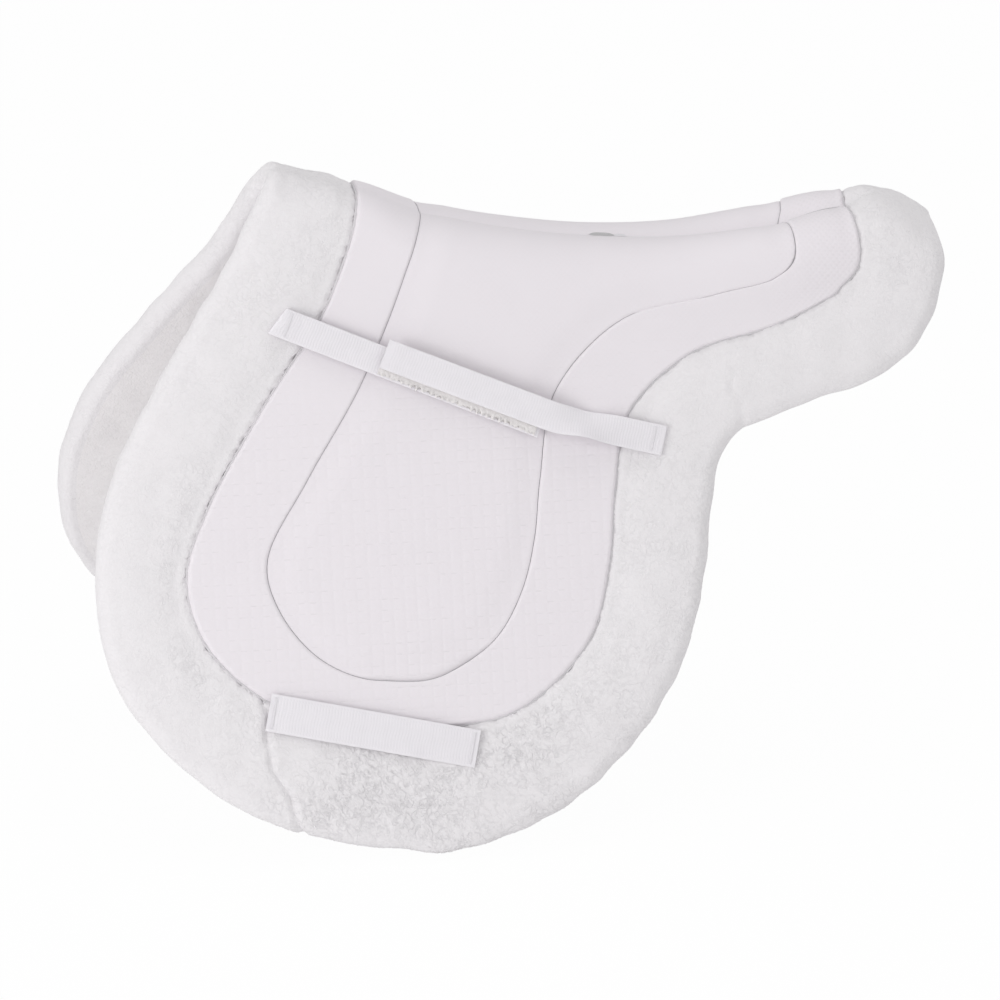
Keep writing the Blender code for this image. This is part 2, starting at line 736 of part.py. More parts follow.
def make_straps(workshop, word, side):
    """The girth strap and the two billet straps of one side."""
    fold = word + "_fold_axis"

    def sew(name, shape, material, axis=fold):
        workshop.add(word + "_" + name, shape, material, side, axis)

    length = strap_length(GIRTH_STRAP)
    girth = strap(GIRTH_STRAP, 0.0, length, girth_out, GIRTH_WIDTH, WEBBING, GIRTH_SEWN)
    sew("girth_strap", girth, "webbing")
    for name, mark in (("front", GIRTH_SEWN / 2), ("rear", length - GIRTH_SEWN / 2)):
        tack = bar_tack(GIRTH_STRAP, mark, GIRTH_WIDTH, GIRTH_REST + WEBBING)
        sew(f"girth_{name}_bar_tack", tack, "thread")
    for name, points, rest in BILLETS:
        end = ANCHOR_LENGTH - SEW_GAP / 2
        anchor = strap(points, 0.0, end, level(rest), BILLET_WIDTH, ANCHOR)
        sew(name + "_billet_anchor", anchor, "webbing")
        tack = bar_tack(points, ANCHOR_LENGTH / 2, BILLET_WIDTH, rest + ANCHOR)
        sew(name + "_billet_bar_tack", tack, "thread")
    make_billets(workshop, word, side)


def make_billets(workshop, word, side):
    """The lifting parts of the billet straps, each with its tape, on its own axis."""
    for name, points, rest in BILLETS:
        along, drop = anchor_edge(points)
        place = bend([(along, float(down_from_drop(along, drop)), rest + ANCHOR)])[0]
        workshop.axis(f"{word}_{name}_billet_axis", (place[0], side * place[1], place[2]))

    def sew(name, shape, material, axis):
        workshop.add(f"{word}_{name}", shape, material, side, f"{word}_{axis}_billet_axis")

    def loop_out(alongs):
        return front_billet_out(alongs) + WEBBING + TAPE_GAP

    def hook_out(alongs):
        return rear_billet_out(alongs) - TAPE - TAPE_GAP

    start = ANCHOR_LENGTH + SEW_GAP / 2
    lap = strap_length(REAR_BILLET[-2:])
    width = BILLET_WIDTH - TAPE_MARGIN
    end = strap_length(FRONT_BILLET)
    front = strap(FRONT_BILLET, start, end, front_billet_out, BILLET_WIDTH, WEBBING)
    sew("front_billet_strap", front, "webbing", "front")
    span = (end - lap + TAPE_MARGIN, end - TAPE_MARGIN)
    sew("loop_tape", strap(FRONT_BILLET, *span, loop_out, width, TAPE), "hook_tape", "front")
    end = strap_length(REAR_BILLET)
    rear = strap(REAR_BILLET, start, end, rear_billet_out, BILLET_WIDTH, WEBBING)
    sew("rear_billet_strap", rear, "webbing", "rear")
    span = (end - lap + TAPE_MARGIN, end - TAPE_MARGIN)
    sew("hook_tape", strap(REAR_BILLET, *span, hook_out, width, TAPE), "hook_tape", "rear")


def main():
    empty_the_scene()
    pattern = Pattern()
    workshop = Workshop()
    make_spine(workshop, pattern)
    for word, side in (("left", -1), ("right", 1)):
        make_side(workshop, pattern, word, side)
        make_straps(workshop, word, side)


main()
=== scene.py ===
"""Looks for the close contact saddle pad: fleece, quilting, webbing and stitching over the frame.

Each shape is drawn on the pad's flat pattern and then bent over the horse's back. A pattern point
is (along, down, out) in metres. Along runs down the spine from the withers. Down is measured along
the cover from the spine seam. Out is square to the cover, with 0 on the cover's face. A "drop"
stands in for down in the outlines: it is measured from the line where the two flap planes would
meet. The left half of the pad lies at negative Y.
"""

import logging
import math
from dataclasses import dataclass
from enum import Enum
from typing import Callable

import bpy
import numpy as np
from mathutils import Matrix, Vector


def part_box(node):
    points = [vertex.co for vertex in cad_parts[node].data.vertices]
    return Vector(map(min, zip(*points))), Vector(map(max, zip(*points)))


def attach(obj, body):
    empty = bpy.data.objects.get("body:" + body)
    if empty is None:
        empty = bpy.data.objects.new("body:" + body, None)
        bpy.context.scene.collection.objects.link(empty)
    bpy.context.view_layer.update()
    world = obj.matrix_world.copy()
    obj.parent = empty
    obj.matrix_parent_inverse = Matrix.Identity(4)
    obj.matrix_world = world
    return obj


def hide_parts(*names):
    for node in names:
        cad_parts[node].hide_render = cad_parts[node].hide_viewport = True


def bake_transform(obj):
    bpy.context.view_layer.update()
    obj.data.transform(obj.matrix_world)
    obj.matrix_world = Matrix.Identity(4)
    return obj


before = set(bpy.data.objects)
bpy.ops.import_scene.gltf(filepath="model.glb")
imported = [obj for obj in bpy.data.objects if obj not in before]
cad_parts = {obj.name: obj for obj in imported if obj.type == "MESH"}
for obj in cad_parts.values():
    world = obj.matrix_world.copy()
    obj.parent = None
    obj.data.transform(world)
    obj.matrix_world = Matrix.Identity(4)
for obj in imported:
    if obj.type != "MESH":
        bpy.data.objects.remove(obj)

Array = np.ndarray
Colour = tuple[float, float, float]
Line = Callable[[Array], Array]
LOG = logging.getLogger("saddle_pad")
MM = 0.001
PI = math.pi

# Faces that meet at more than this angle keep a sharp rim
RIM_ANGLE = math.radians(66.0)

# Sizes that several pieces share, with heights measured out from the cover's face
THICKNESS = 25.0 * MM
COVER = 4.0 * MM
FOAM_BOTTOM = -15.4 * MM
ROLL_CROWN = 4.0 * MM
WEBBING = 1.8 * MM

# The quilting: its cells along and down, their height, and the drop where they fade out upwards
QUILT_ALONG = 10.0 * MM
QUILT_DOWN = 9.3 * MM
QUILT_HEIGHT = 0.3 * MM
QUILT_HIGH = 0.17
QUILT_FADE = 0.12

# How many places are compared at once, how densely a panel's outline is sampled, and the columns of
# a panel's under face
NEAREST_BATCH = 4000
OUTLINE_SAMPLES = 900
UNDER_COLUMNS = 26


class Side(Enum):
    """The two halves of the pad, by the sign of Y."""

    LEFT = -1.0
    RIGHT = 1.0

    @property
    def word(self) -> str:
        """The side's word in the names of pieces and bodies."""
        return self.name.lower()


class Slot(Enum):
    """The record's material slots."""

    FLEECE = "fleece"
    LINING = "lining_fleece"
    COTTON = "quilted_cotton"
    FOAM = "foam"
    WEBBING = "webbing"
    TAPE = "hook_tape"
    THREAD = "thread"


@dataclass(frozen=True)
class Curve:
    """A cubic through knots: each span joins its ends with the slopes given there."""

    knots: Array
    marks: Array
    slopes: Array

    @classmethod
    def through(cls, knots: Array, marks: Array) -> "Curve":
        """A smooth curve whose slope at a knot is that of its neighbours."""
        return cls(knots, marks, np.gradient(knots, marks, axis=0))

    @classmethod
    def steady(cls, table: tuple[tuple[float, float], ...]) -> "Curve":
        """A curve through (mark, value) rows that never overshoots a row.

        Args:
            table: Rows of mark and value, in order.

        Returns:
            The curve, whose slope at a row is the harmonic mean of the rises beside it.
        """
        marks, values = np.array(table).T
        rises = np.diff(values) / np.diff(marks)
        before, after = rises[:-1], rises[1:]
        climbing = before * after > 0
        slopes = np.zeros(len(values))
        slopes[1:-1][climbing] = 2 * (before * after)[climbing] / (before + after)[climbing]
        return cls(values[:, None], marks, slopes[:, None])

    def at(self, places: Array) -> Array:
        """The curve's points at marks, held at its ends beyond them.

        Args:
            places: Marks to read the curve at.

        Returns:
            One point for each.
        """
        places = np.clip(places, self.marks[0], self.marks[-1])
        span = np.clip(np.searchsorted(self.marks, places) - 1, 0, len(self.marks) - 2)
        width = self.marks[span + 1] - self.marks[span]
        t = ((places - self.marks[span]) / width)[..., None]
        width = width[..., None]
        start = (1 + 2 * t) * (1 - t) ** 2 * self.knots[span]
        end = t * t * (3 - 2 * t) * self.knots[span + 1]
        leave = t * (1 - t) ** 2 * width * self.slopes[span]
        arrive = t * t * (t - 1) * width * self.slopes[span + 1]
        return start + end + leave + arrive

    def value(self, places: Array) -> Array:
        """The same for a curve of plain values."""
        return self.at(places)[..., 0]


def eased(share: Array) -> Array:
    """A smooth step from 0 to 1."""
    share = np.clip(share, 0.0, 1.0)
    return share * share * (3 - 2 * share)


def risen(distance: Array, shoulder: float | Array) -> Array:
    """A rise from 0 at a seam to 1 past its shoulder, level at the top."""
    return 1 - (1 - np.clip(distance / shoulder, 0, 1)) ** 2


def unit(vectors: Array) -> Array:
    """The vectors in the last axis, made 1 long."""
    return vectors / np.linalg.norm(vectors, axis=-1, keepdims=True)


def sideways(headings: Array) -> Array:
    """Flat directions of length 1 that are square to the headings of a line."""
    headings = unit(headings)
    return np.column_stack((-headings[:, 1], headings[:, 0]))


def lengths_along(points: Array) -> Array:
    """Length of a line of points, from its start to each of them."""
    return np.concatenate(([0.0], np.cumsum(np.linalg.norm(np.diff(points, axis=0), axis=1))))


@dataclass(frozen=True)
class Back:
    """The horse's back that the pad hangs over, and the map from the pattern to space."""

    tilt: float = math.radians(22.0)
    puff_down: float = 90.0 * MM
    puff_ease: float = 0.06
    puff_scale: float = 6.75
    radius: Curve = Curve.steady((
        (-0.318, 0.005), (-0.246, 0.010), (-0.187, 0.025), (-0.119, 0.036), (-0.045, 0.043),
        (0.030, 0.046), (0.100, 0.044), (0.163, 0.035), (0.250, 0.032)))
    puff: Curve = Curve.steady((
        (-0.316, 0.004), (-0.190, 0.006), (-0.050, 0.006), (0.030, 0.009), (0.080, 0.013),
        (0.120, 0.015), (0.150, 0.013), (0.180, 0.009), (0.210, 0.003), (0.250, 0.0)))
    lift: Curve = Curve.steady((
        (-0.316, 0.014), (-0.298, 0.007), (-0.281, 0.003), (-0.262, 0.002), (-0.240, 0.0),
        (0.165, 0.0), (0.190, 0.007), (0.212, 0.003), (0.245, -0.012)))

    def cover_radius(self, along: Array) -> Array:
        """Radius of the bend at the cover's face."""
        return self.radius.value(along) + THICKNESS

    def ridge_height(self) -> float:
        """Height of the line where the two flap planes would meet."""
        widest = float(self.radius.knots.max()) + THICKNESS
        return THICKNESS + (1 / math.sin(self.tilt) - 1) * widest

    def down(self, along: Array, drop: Array) -> Array:
        """Distance from the spine seam of a point that is given by its drop."""
        shorter = 1 / math.tan(self.tilt) - (PI / 2 - self.tilt)
        return drop - shorter * self.cover_radius(along)

    def drop(self, flat: Array) -> Array:
        """The drop of flat places (along, down)."""
        return flat[..., 1] - self.down(flat[..., 0], 0.0)

    def bend(self, points: Array, side: Side) -> Array:
        """Bend pattern points over the back.

        The section is an arc over the spine that runs on as a straight tilted line. Each half
        puffs up beside the spine seam, and the ends of the spine lift.

        Args:
            points: Pattern points (along, down, out) in the last axis.
            side: The half of the pad that they lie on.

        Returns:
            The points in space, in the same shape.
        """
        along, down, out = np.moveaxis(points, -1, 0)
        radius = self.cover_radius(along)
        centre = self.ridge_height() - radius / math.sin(self.tilt)
        turn = np.minimum(down / radius, PI / 2 - self.tilt)
        straight = down - turn * radius
        share = np.clip(down / self.puff_down, 0.0, 1.0)
        share = share * share * (1 + self.puff_ease) / (share + self.puff_ease)
        out = out + self.puff.value(along) * self.puff_scale * share * (1 - share) ** 2
        across = (radius + out) * np.sin(turn) + straight * np.cos(turn)
        height = centre + (radius + out) * np.cos(turn) - straight * np.sin(turn)
        height = height + self.lift.value(along) * (1 - eased(share))
        return np.stack((along, side.value * across, height), axis=-1)


class Outline:
    """The outer edge, the groove and the inner seam of one half, by row from withers to cantle.

    Each row gives the edge's along and drop, the roll's width, and the inner seam's along and drop.
    """

    ROWS = (
        (-0.316, None, 0.075, -0.187, None),
        (-0.344, 0.097, 0.088, -0.206, 0.130),
        (-0.408, 0.195, 0.087, -0.246, 0.217),
        (-0.460, 0.288, 0.084, -0.297, 0.298),
        (-0.478, 0.371, 0.076, -0.334, 0.364),
        (-0.465, 0.461, 0.082, -0.326, 0.405),
        (-0.402, 0.543, 0.088, -0.295, 0.446),
        (-0.319, 0.591, 0.097, -0.255, 0.466),
        (-0.236, 0.609, 0.099, -0.214, 0.470),
        (-0.145, 0.604, 0.095, -0.172, 0.457),
        (-0.070, 0.566, 0.083, -0.142, 0.434),
        (0.002, 0.486, 0.078, -0.120, 0.396),
        (0.034, 0.398, 0.081, -0.108, 0.354),
        (0.044, 0.335, 0.083, -0.101, 0.306),
        (0.055, 0.292, 0.085, -0.084, 0.233),
        (0.070, 0.276, 0.079, -0.022, 0.175),
        (0.111, 0.260, 0.073, 0.056, 0.160),
        (0.180, 0.240, 0.081, 0.106, 0.150),
        (0.226, 0.208, 0.083, 0.1225, 0.137),
        (0.251, 0.148, 0.074, 0.1215, 0.100),
        (0.248, None, 0.075, 0.117, None),
    )
    TIP = 8.0
    STEPS = 3
    SAMPLES = 2000

    def __init__(self, back: Back) -> None:
        """Fit the three lines.

        Args:
            back: The back, which turns each drop into a distance down.
        """
        self.back = back
        self.last = float(len(self.ROWS) - 1)
        alongs, drops, widths, seam_alongs, seam_drops = zip(*self.ROWS)
        knots = self._knots(alongs, drops)
        self.edge = self._line(knots)
        samples = self.edge(np.arange(self.STEPS * (len(knots) - 1) + 1) / self.STEPS)
        heading = np.gradient(samples, axis=0)
        heading[[0, -1], 0] = 0.0
        heading[0, 1], heading[-1, 1] = 1.0, -1.0
        inwards = -sideways(heading)[:: self.STEPS]
        self.groove = self._line(knots + inwards * np.array(widths)[:, None])
        self.seam = self._line(self._knots(seam_alongs, seam_drops))

    def _knots(self, alongs: tuple, drops: tuple) -> Array:
        """Rows of along and down, where a missing drop means the spine seam.

        Args:
            alongs: Along of each row.
            drops: Drop of each row, or None.

        Returns:
            A row of two numbers for each.
        """
        return np.array([
            (along, 0.0 if drop is None else float(self.back.down(np.array(along), drop)))
            for along, drop in zip(alongs, drops)
        ])

    @staticmethod
    def _line(knots: Array) -> Line:
        """A cubic through knots, read by row, that meets the spine squarely at both ends.

        Args:
            knots: A row of along and down for each knot.

        Returns:
            A line that is read by row.
        """
        mirrored = knots[[1, -2]] * (1, -1)
        padded = np.vstack((mirrored[:1], knots, mirrored[1:]))
        steps = np.linalg.norm(np.diff(padded, axis=0), axis=1)
        marks = np.concatenate(([0.0], np.cumsum(np.sqrt(steps))))
        curve = Curve.through(padded, marks)
        inner = marks[1:-1]
        return lambda rows: curve.at(np.interp(rows, np.arange(len(inner)), inner))

    def middle(self, rows: Array) -> Array:
        """Places midway between the edge and the groove."""
        return (self.edge(rows) + self.groove(rows)) / 2

    def evenly(self, line: Line, first: float, last: float, pitch: float) -> Array:
        """Rows that stand evenly along a line.

        Args:
            line: One of the outline's lines.
            first: The row where they start.
            last: The row where they end.
            pitch: The distance wanted between two of them.

        Returns:
            The rows, in order.
        """
        rows = np.linspace(first, last, self.SAMPLES)
        lengths = lengths_along(line(rows))
        count = max(2, round(lengths[-1] / pitch) + 1)
        return np.interp(np.linspace(0.0, lengths[-1], count), lengths, rows)


def scattered(cells: Array, seed: int) -> Array:
    """Three numbers from 0 to 1 for each whole-number cell, the same in each run.

    Args:
        cells: Cells as three whole numbers, in the last axis.
        seed: Which set of numbers to give.

    Returns:
        Three numbers for each cell.
    """
    parts = cells.astype(np.int64).astype(np.uint32)
    mixed = parts[..., 0] * np.uint32(0x9E3779B1) ^ parts[..., 1] * np.uint32(0x85EBCA77)
    mixed = mixed ^ parts[..., 2] * np.uint32(0xC2B2AE3D) ^ np.uint32(seed * 7919)
    numbers = []
    for _ in range(3):
        mixed = (mixed ^ (mixed >> np.uint32(15))) * np.uint32(0x2C1B3C6D)
        mixed = (mixed ^ (mixed >> np.uint32(12))) * np.uint32(0x297A2D39)
        mixed = mixed ^ (mixed >> np.uint32(15))
        numbers.append(mixed / 2.0**32)
    return np.stack(numbers, axis=-1)


@dataclass(frozen=True)
class Ripple:
    """A smooth random height: the sum of waves of one length in many directions."""

    length: float
    seed: int
    count: int = 24

    def at(self, points: Array) -> Array:
        """The height at points in space, mostly between -1 and 1.

        Args:
            points: Points in space, in the last axis.

        Returns:
            One height for each point.
        """
        random = np.random.default_rng(self.seed)
        ways = random.normal(size=(self.count, 3))
        ways *= (2 * PI / self.length) / np.linalg.norm(ways, axis=1)[:, None]
        starts = random.uniform(0, 2 * PI, self.count)
        height = np.zeros(points.shape[:-1])
        for way, start in zip(ways, starts):
            height += np.cos(points @ way + start)
        return height / math.sqrt(self.count)


@dataclass(frozen=True)
class Curls:
    """Fleece curls: small domes about scattered centres, with creases where two domes meet."""

    size: float
    seed: int
    crease: float = 0.45
    fall: float = 0.35

    def at(self, points: Array) -> Array:
        """Height of the curls, from 0 in a crease to 1 on a dome.

        The distances to the nearest and the second nearest centre are compared: where they are the
        same the point is in a crease.

        Args:
            points: Points in space, in the last axis.

        Returns:
            One height for each point.
        """
        flat = points.reshape(-1, 3) / self.size
        bases = np.floor(flat)
        nearest = np.full(len(flat), np.inf)
        second = nearest.copy()
        for offset in np.ndindex(3, 3, 3):
            cells = bases + np.array(offset) - 1
            centres = cells + scattered(cells, self.seed)
            distance = np.linalg.norm(flat - centres, axis=1)
            second = np.minimum(second, np.maximum(distance, nearest))
            nearest = np.minimum(nearest, distance)
        dome = (1 - np.exp(-(second - nearest) / self.crease)) * (1 - self.fall * nearest**2)
        return dome.reshape(points.shape[:-1])


@dataclass
class Skin:
    """A closed skin: rows of points from end to end, each row a loop round the section."""

    points: Array
    pattern: Array

    def __post_init__(self) -> None:
        """Turn the loops round where the faces would point inwards."""
        self.turned = self._volume() < 0
        self.points, self.pattern = self.facing(self.points), self.facing(self.pattern)

    def _volume(self) -> float:
        """Six times the volume inside the skin, which is negative where faces point inwards.

        Returns:
            Six times the volume in cubic metres, with its sign.
        """
        centred = self.points - self.points.reshape(-1, 3).mean(axis=0)
        a, d = centred[:-1], centred[1:]
        b, c = np.roll(a, -1, axis=1), np.roll(d, -1, axis=1)
        return float(np.sum(np.cross(a, b) * c) + np.sum(np.cross(a, c) * d))

    def facing(self, values: Array) -> Array:
        """Values given in the first order of the loops, put in the order of this skin."""
        return values[:, ::-1] if self.turned else values

    def normals(self) -> Array:
        """Outward directions, square to the rows and to the loops.

        Returns:
            A direction of length 1 for each point.
        """
        along = np.gradient(self.points, axis=0)
        around = (np.roll(self.points, -1, axis=1) - np.roll(self.points, 1, axis=1)) / 2
        normals = np.cross(around, along)
        lengths = np.linalg.norm(normals, axis=-1, keepdims=True)
        normals = normals / np.maximum(lengths, 1e-12)
        on_spine = np.abs(self.points[..., 1]) < 1e-7
        normals[on_spine, 1] = 0.0
        return normals

    def raise_by(self, height: Array, open_start: bool = False) -> None:
        """Move each point outwards by a height.

        Args:
            height: The height at each point.
            open_start: Whether the loop's first point starts a face, whose direction it then takes.
        """
        normals = self.normals()
        if open_start:
            first, second = (-1, -2) if self.turned else (0, 1)
            normals[:, first] = normals[:, second]
        self.points = self.points + normals * height[..., None]

    def to_object(self, name: str, tone: Array) -> bpy.types.Object:
        """Make the mesh object.

        Args:
            name: The object's name.
            tone: A number for each point, kept as the attribute "pile" for its finish: for fleece
                the curls' strength, and for cotton, webbing and tape a tone that holds painted
                shade.

        Returns:
            The object, at the origin.
        """
        rows, columns = self.points.shape[:2]
        index = np.arange(rows * columns).reshape(rows, columns)
        beside = np.roll(index, -1, axis=1)
        quads = np.stack((index[:-1], beside[:-1], beside[1:], index[1:]), axis=-1).reshape(-1, 4)
        corners = np.concatenate((quads.ravel(), index[0][::-1], index[-1]))
        starts = np.append(np.arange(len(quads) + 1) * 4, len(quads) * 4 + columns)
        mesh = bpy.data.meshes.new(name)
        for items, count, key, values in (
                (mesh.vertices, rows * columns, "co", self.points.astype(np.float32)),
                (mesh.loops, len(corners), "vertex_index", corners.astype(np.int32)),
                (mesh.polygons, len(starts), "loop_start", starts.astype(np.int32))):
            items.add(count)
            items.foreach_set(key, values.ravel())
        mesh.update(calc_edges=True)
        places = self.pattern.reshape(-1, 2)[corners].astype(np.float32)
        mesh.uv_layers.new(name="pattern").data.foreach_set("uv", places.ravel())
        attribute = mesh.attributes.new("pile", "FLOAT", "POINT")
        attribute.data.foreach_set("value", tone.astype(np.float32).ravel())
        mesh.shade_smooth()
        mesh.set_sharp_from_angle(angle=RIM_ANGLE)
        piece = bpy.data.objects.new(name, mesh)
        bpy.context.scene.collection.objects.link(piece)
        return piece


class Value:
    """A node socket that takes part in Python sums, each of which adds a Math node."""

    def __init__(self, tree: bpy.types.NodeTree, socket: bpy.types.NodeSocket) -> None:
        """Wrap a socket of a tree."""
        self.tree = tree
        self.socket = socket

    def _math(self, operation: str, first: "Value | float", second: "Value | float") -> "Value":
        """Add a Math node and wrap what comes out.

        Args:
            operation: What the node works out.
            first: Its first term.
            second: Its second term.

        Returns:
            What comes out of the node.
        """
        node = self.tree.nodes.new("ShaderNodeMath")
        node.operation = operation
        for socket, term in zip(node.inputs, (first, second)):
            if isinstance(term, Value):
                self.tree.links.new(term.socket, socket)
            else:
                socket.default_value = term
        return Value(self.tree, node.outputs[0])

    def __add__(self, other: "Value | float") -> "Value":
        """Sum."""
        return self._math("ADD", self, other)

    def __sub__(self, other: "Value | float") -> "Value":
        """Difference."""
        return self._math("SUBTRACT", self, other)

    def __rsub__(self, other: float) -> "Value":
        """A number less this."""
        return self._math("SUBTRACT", other, self)

    def __mul__(self, other: "Value | float") -> "Value":
        """Product."""
        return self._math("MULTIPLY", self, other)

    def sine(self) -> "Value":
        """Sine, in radians."""
        return self._math("SINE", self, 0.0)

    def size(self) -> "Value":
        """Absolute value."""
        return self._math("ABSOLUTE", self, 0.0)

    def clipped(self) -> "Value":
        """The value kept between 0 and 1."""
        return self._math("MAXIMUM", self._math("MINIMUM", self, 1.0), 0.0)


class Shader:
    """A material under construction."""

    def __init__(self, name: str) -> None:
        """Start a material with a Principled shader.

        Args:
            name: The material's name.
        """
        self.material = bpy.data.materials.new(name)
        self.material.use_nodes = True
        self.tree = self.material.node_tree
        self.surface = self.tree.nodes["Principled BSDF"]

    def node(self, kind: str, settings: dict | None = None, **sockets: object) -> bpy.types.Node:
        """Add a node.

        Args:
            kind: The node's type.
            settings: Its own properties, set first.
            **sockets: Values or links of its input sockets, by name with _ for a space.

        Returns:
            The node.
        """
        node = self.tree.nodes.new(kind)
        for key, value in (settings or {}).items():
            setattr(node, key, value)
        for key, value in sockets.items():
            self.feed(node.inputs[key.replace("_", " ")], value)
        return node

    def feed(self, socket: bpy.types.NodeSocket, value: object) -> None:
        """Link or set a socket.

        Args:
            socket: The socket to feed.
            value: A value or socket to link, or a setting.
        """
        if isinstance(value, Value):
            self.tree.links.new(value.socket, socket)
        elif isinstance(value, bpy.types.NodeSocket):
            self.tree.links.new(value, socket)
        else:
            socket.default_value = value

    def places(self) -> bpy.types.NodeSocket:
        """Object coordinates."""
        return self.node("ShaderNodeTexCoord").outputs["Object"]

    def pattern(self) -> tuple[Value, Value]:
        """The piece's pattern coordinates in metres: along it and across it.

        Returns:
            The two coordinates.
        """
        layer = self.node("ShaderNodeUVMap", {"uv_map": "pattern"})
        parts = self.node("ShaderNodeSeparateXYZ", Vector=layer.outputs[0])
        return Value(self.tree, parts.outputs[0]), Value(self.tree, parts.outputs[1])

    def attribute(self, name: str) -> Value:
        """A number kept at each point of the mesh."""
        node = self.node("ShaderNodeAttribute", {"attribute_name": name})
        return Value(self.tree, node.outputs["Fac"])

    def noise(self, scale: float, detail: float = 2.0, roughness: float = 0.5) -> Value:
        """A noise from 0 to 1 over Object coordinates.

        Args:
            scale: How many lumps go into a metre.
            detail: How many finer layers it has.
            roughness: How strong the finer layers are.

        Returns:
            The noise.
        """
        node = self.node("ShaderNodeTexNoise", Vector=self.places(), Scale=scale, Detail=detail,
                         Roughness=roughness)
        return Value(self.tree, node.outputs[0])

    def warped(self, scale: float, amount: float) -> bpy.types.NodeSocket:
        """Object coordinates moved about by a noise, by up to half of an amount.

        Args:
            scale: How many lumps of the noise go into a metre.
            amount: The distance.

        Returns:
            The socket with the moved coordinates.
        """
        noise = self.node("ShaderNodeTexNoise", Vector=self.places(), Scale=scale)
        middle = self.node("ShaderNodeVectorMath", {"operation": "SUBTRACT"})
        self.feed(middle.inputs[0], noise.outputs[1])
        self.feed(middle.inputs[1], (0.5, 0.5, 0.5))
        moved = self.node("ShaderNodeVectorMath", {"operation": "MULTIPLY_ADD"})
        self.feed(moved.inputs[0], middle.outputs[0])
        self.feed(moved.inputs[1], (amount, amount, amount))
        self.feed(moved.inputs[2], self.places())
        return moved.outputs[0]

    def patches(self, scale: float, gain: float, cut: float) -> Value:
        """Soft patches from 0 to 1: a noise times a gain, less a cut."""
        return (self.noise(scale) * gain - cut).clipped()

    def creases(self, scale: float, thin: float) -> Value:
        """Thin wriggling lines, where a noise over shifted places passes its middle value.

        Args:
            scale: About how many lines go into a metre.
            thin: How thin the lines are.

        Returns:
            1 on a line, and 0 away from it.
        """
        node = self.node("ShaderNodeTexNoise", Vector=self.warped(scale * 0.6, 5.0 * MM),
                         Scale=scale, Detail=1.0)
        return (1 - (Value(self.tree, node.outputs[0]) - 0.5).size() * thin).clipped()

    def cells(self, scale: float) -> Value:
        """Distance to the nearest of scattered points, over Object coordinates."""
        node = self.node("ShaderNodeTexVoronoi", Vector=self.places(), Scale=scale)
        return Value(self.tree, node.outputs["Distance"])

    def done(self, face: Colour, dark: Colour, surface: "Surface") -> bpy.types.Material:
        """Feed the Principled shader and return the material.

        Args:
            face: The colour where the surface's share is 1.
            dark: The colour where it is 0.
            surface: What the finish says of the surface.

        Returns:
            The material.
        """
        mix = self.node("ShaderNodeMix", {"data_type": "RGBA"})
        for index, value in zip((0, 6, 7), (surface.share, (*dark, 1.0), (*face, 1.0))):
            self.feed(mix.inputs[index], value)
        bump = self.node("ShaderNodeBump", Height=surface.height, Strength=surface.strength,
                         Distance=surface.depth)
        for name, value in (
                ("Base Color", mix.outputs[2]), ("Normal", bump.outputs[0]),
                ("Roughness", surface.roughness), ("Sheen Weight", surface.sheen),
                ("Sheen Roughness", 0.6), ("Specular IOR Level", 0.15)):
            self.feed(self.surface.inputs[name], value)
        return self.material


@dataclass(frozen=True)
class Surface:
    """How a finish varies: the share of its face colour, its relief, roughness and sheen."""

    share: Value
    height: Value
    strength: float
    depth: float
    roughness: Value
    sheen: float


@dataclass(frozen=True)
class Finish:
    """What all finishes share: a face colour, and a darker one that mostly paints shade into
    creases, gaps, pores and weave valleys.
    """

    name: str
    face: Colour
    dark: Colour
    slot: Slot = Slot.THREAD

    def surface(self, shader: Shader) -> Surface:
        """The nodes of this finish."""
        raise NotImplementedError

    def material(self) -> bpy.types.Material:
        """Build the material."""
        shader = Shader(self.name)
        return shader.done(self.face, self.dark, self.surface(shader))


@dataclass(frozen=True)
class FleeceFinish(Finish):
    """Curled pile with fine fibres, whose creases are greyed by painted shade."""

    slot: Slot = Slot.FLEECE
    curls: float = 150.0

    def surface(self, shader: Shader) -> Surface:
        """The pile, whose creases and the shade painted into them are as strong as its attribute.

        Args:
            shader: The material and its nodes.

        Returns:
            What the finish feeds to the shader.
        """
        bold = shader.attribute("pile") * 0.9 + 0.1
        wide = shader.creases(self.curls, 11.0) * shader.patches(95.0, 4.0, 1.35)
        small = shader.creases(self.curls * 1.9, 9.0) * shader.patches(130.0, 4.0, 1.5)
        creases = (wide + small * 0.7).clipped()
        fine = shader.noise(650.0, 3.0, 0.6)
        # The creases term greys the colour between the curls: painted shade. The fine and slow
        # noises are the pile's own tone.
        share = (1.02 - bold * creases * 0.52 - fine * 0.16 + shader.noise(14.0) * 0.12).clipped()
        height = fine * 0.7 - creases * bold * 1.1 - shader.cells(430.0) * 0.3
        return Surface(share, height, 0.5, 0.9 * MM, shader.noise(300.0) * 0.1 + 0.88, 0.3)


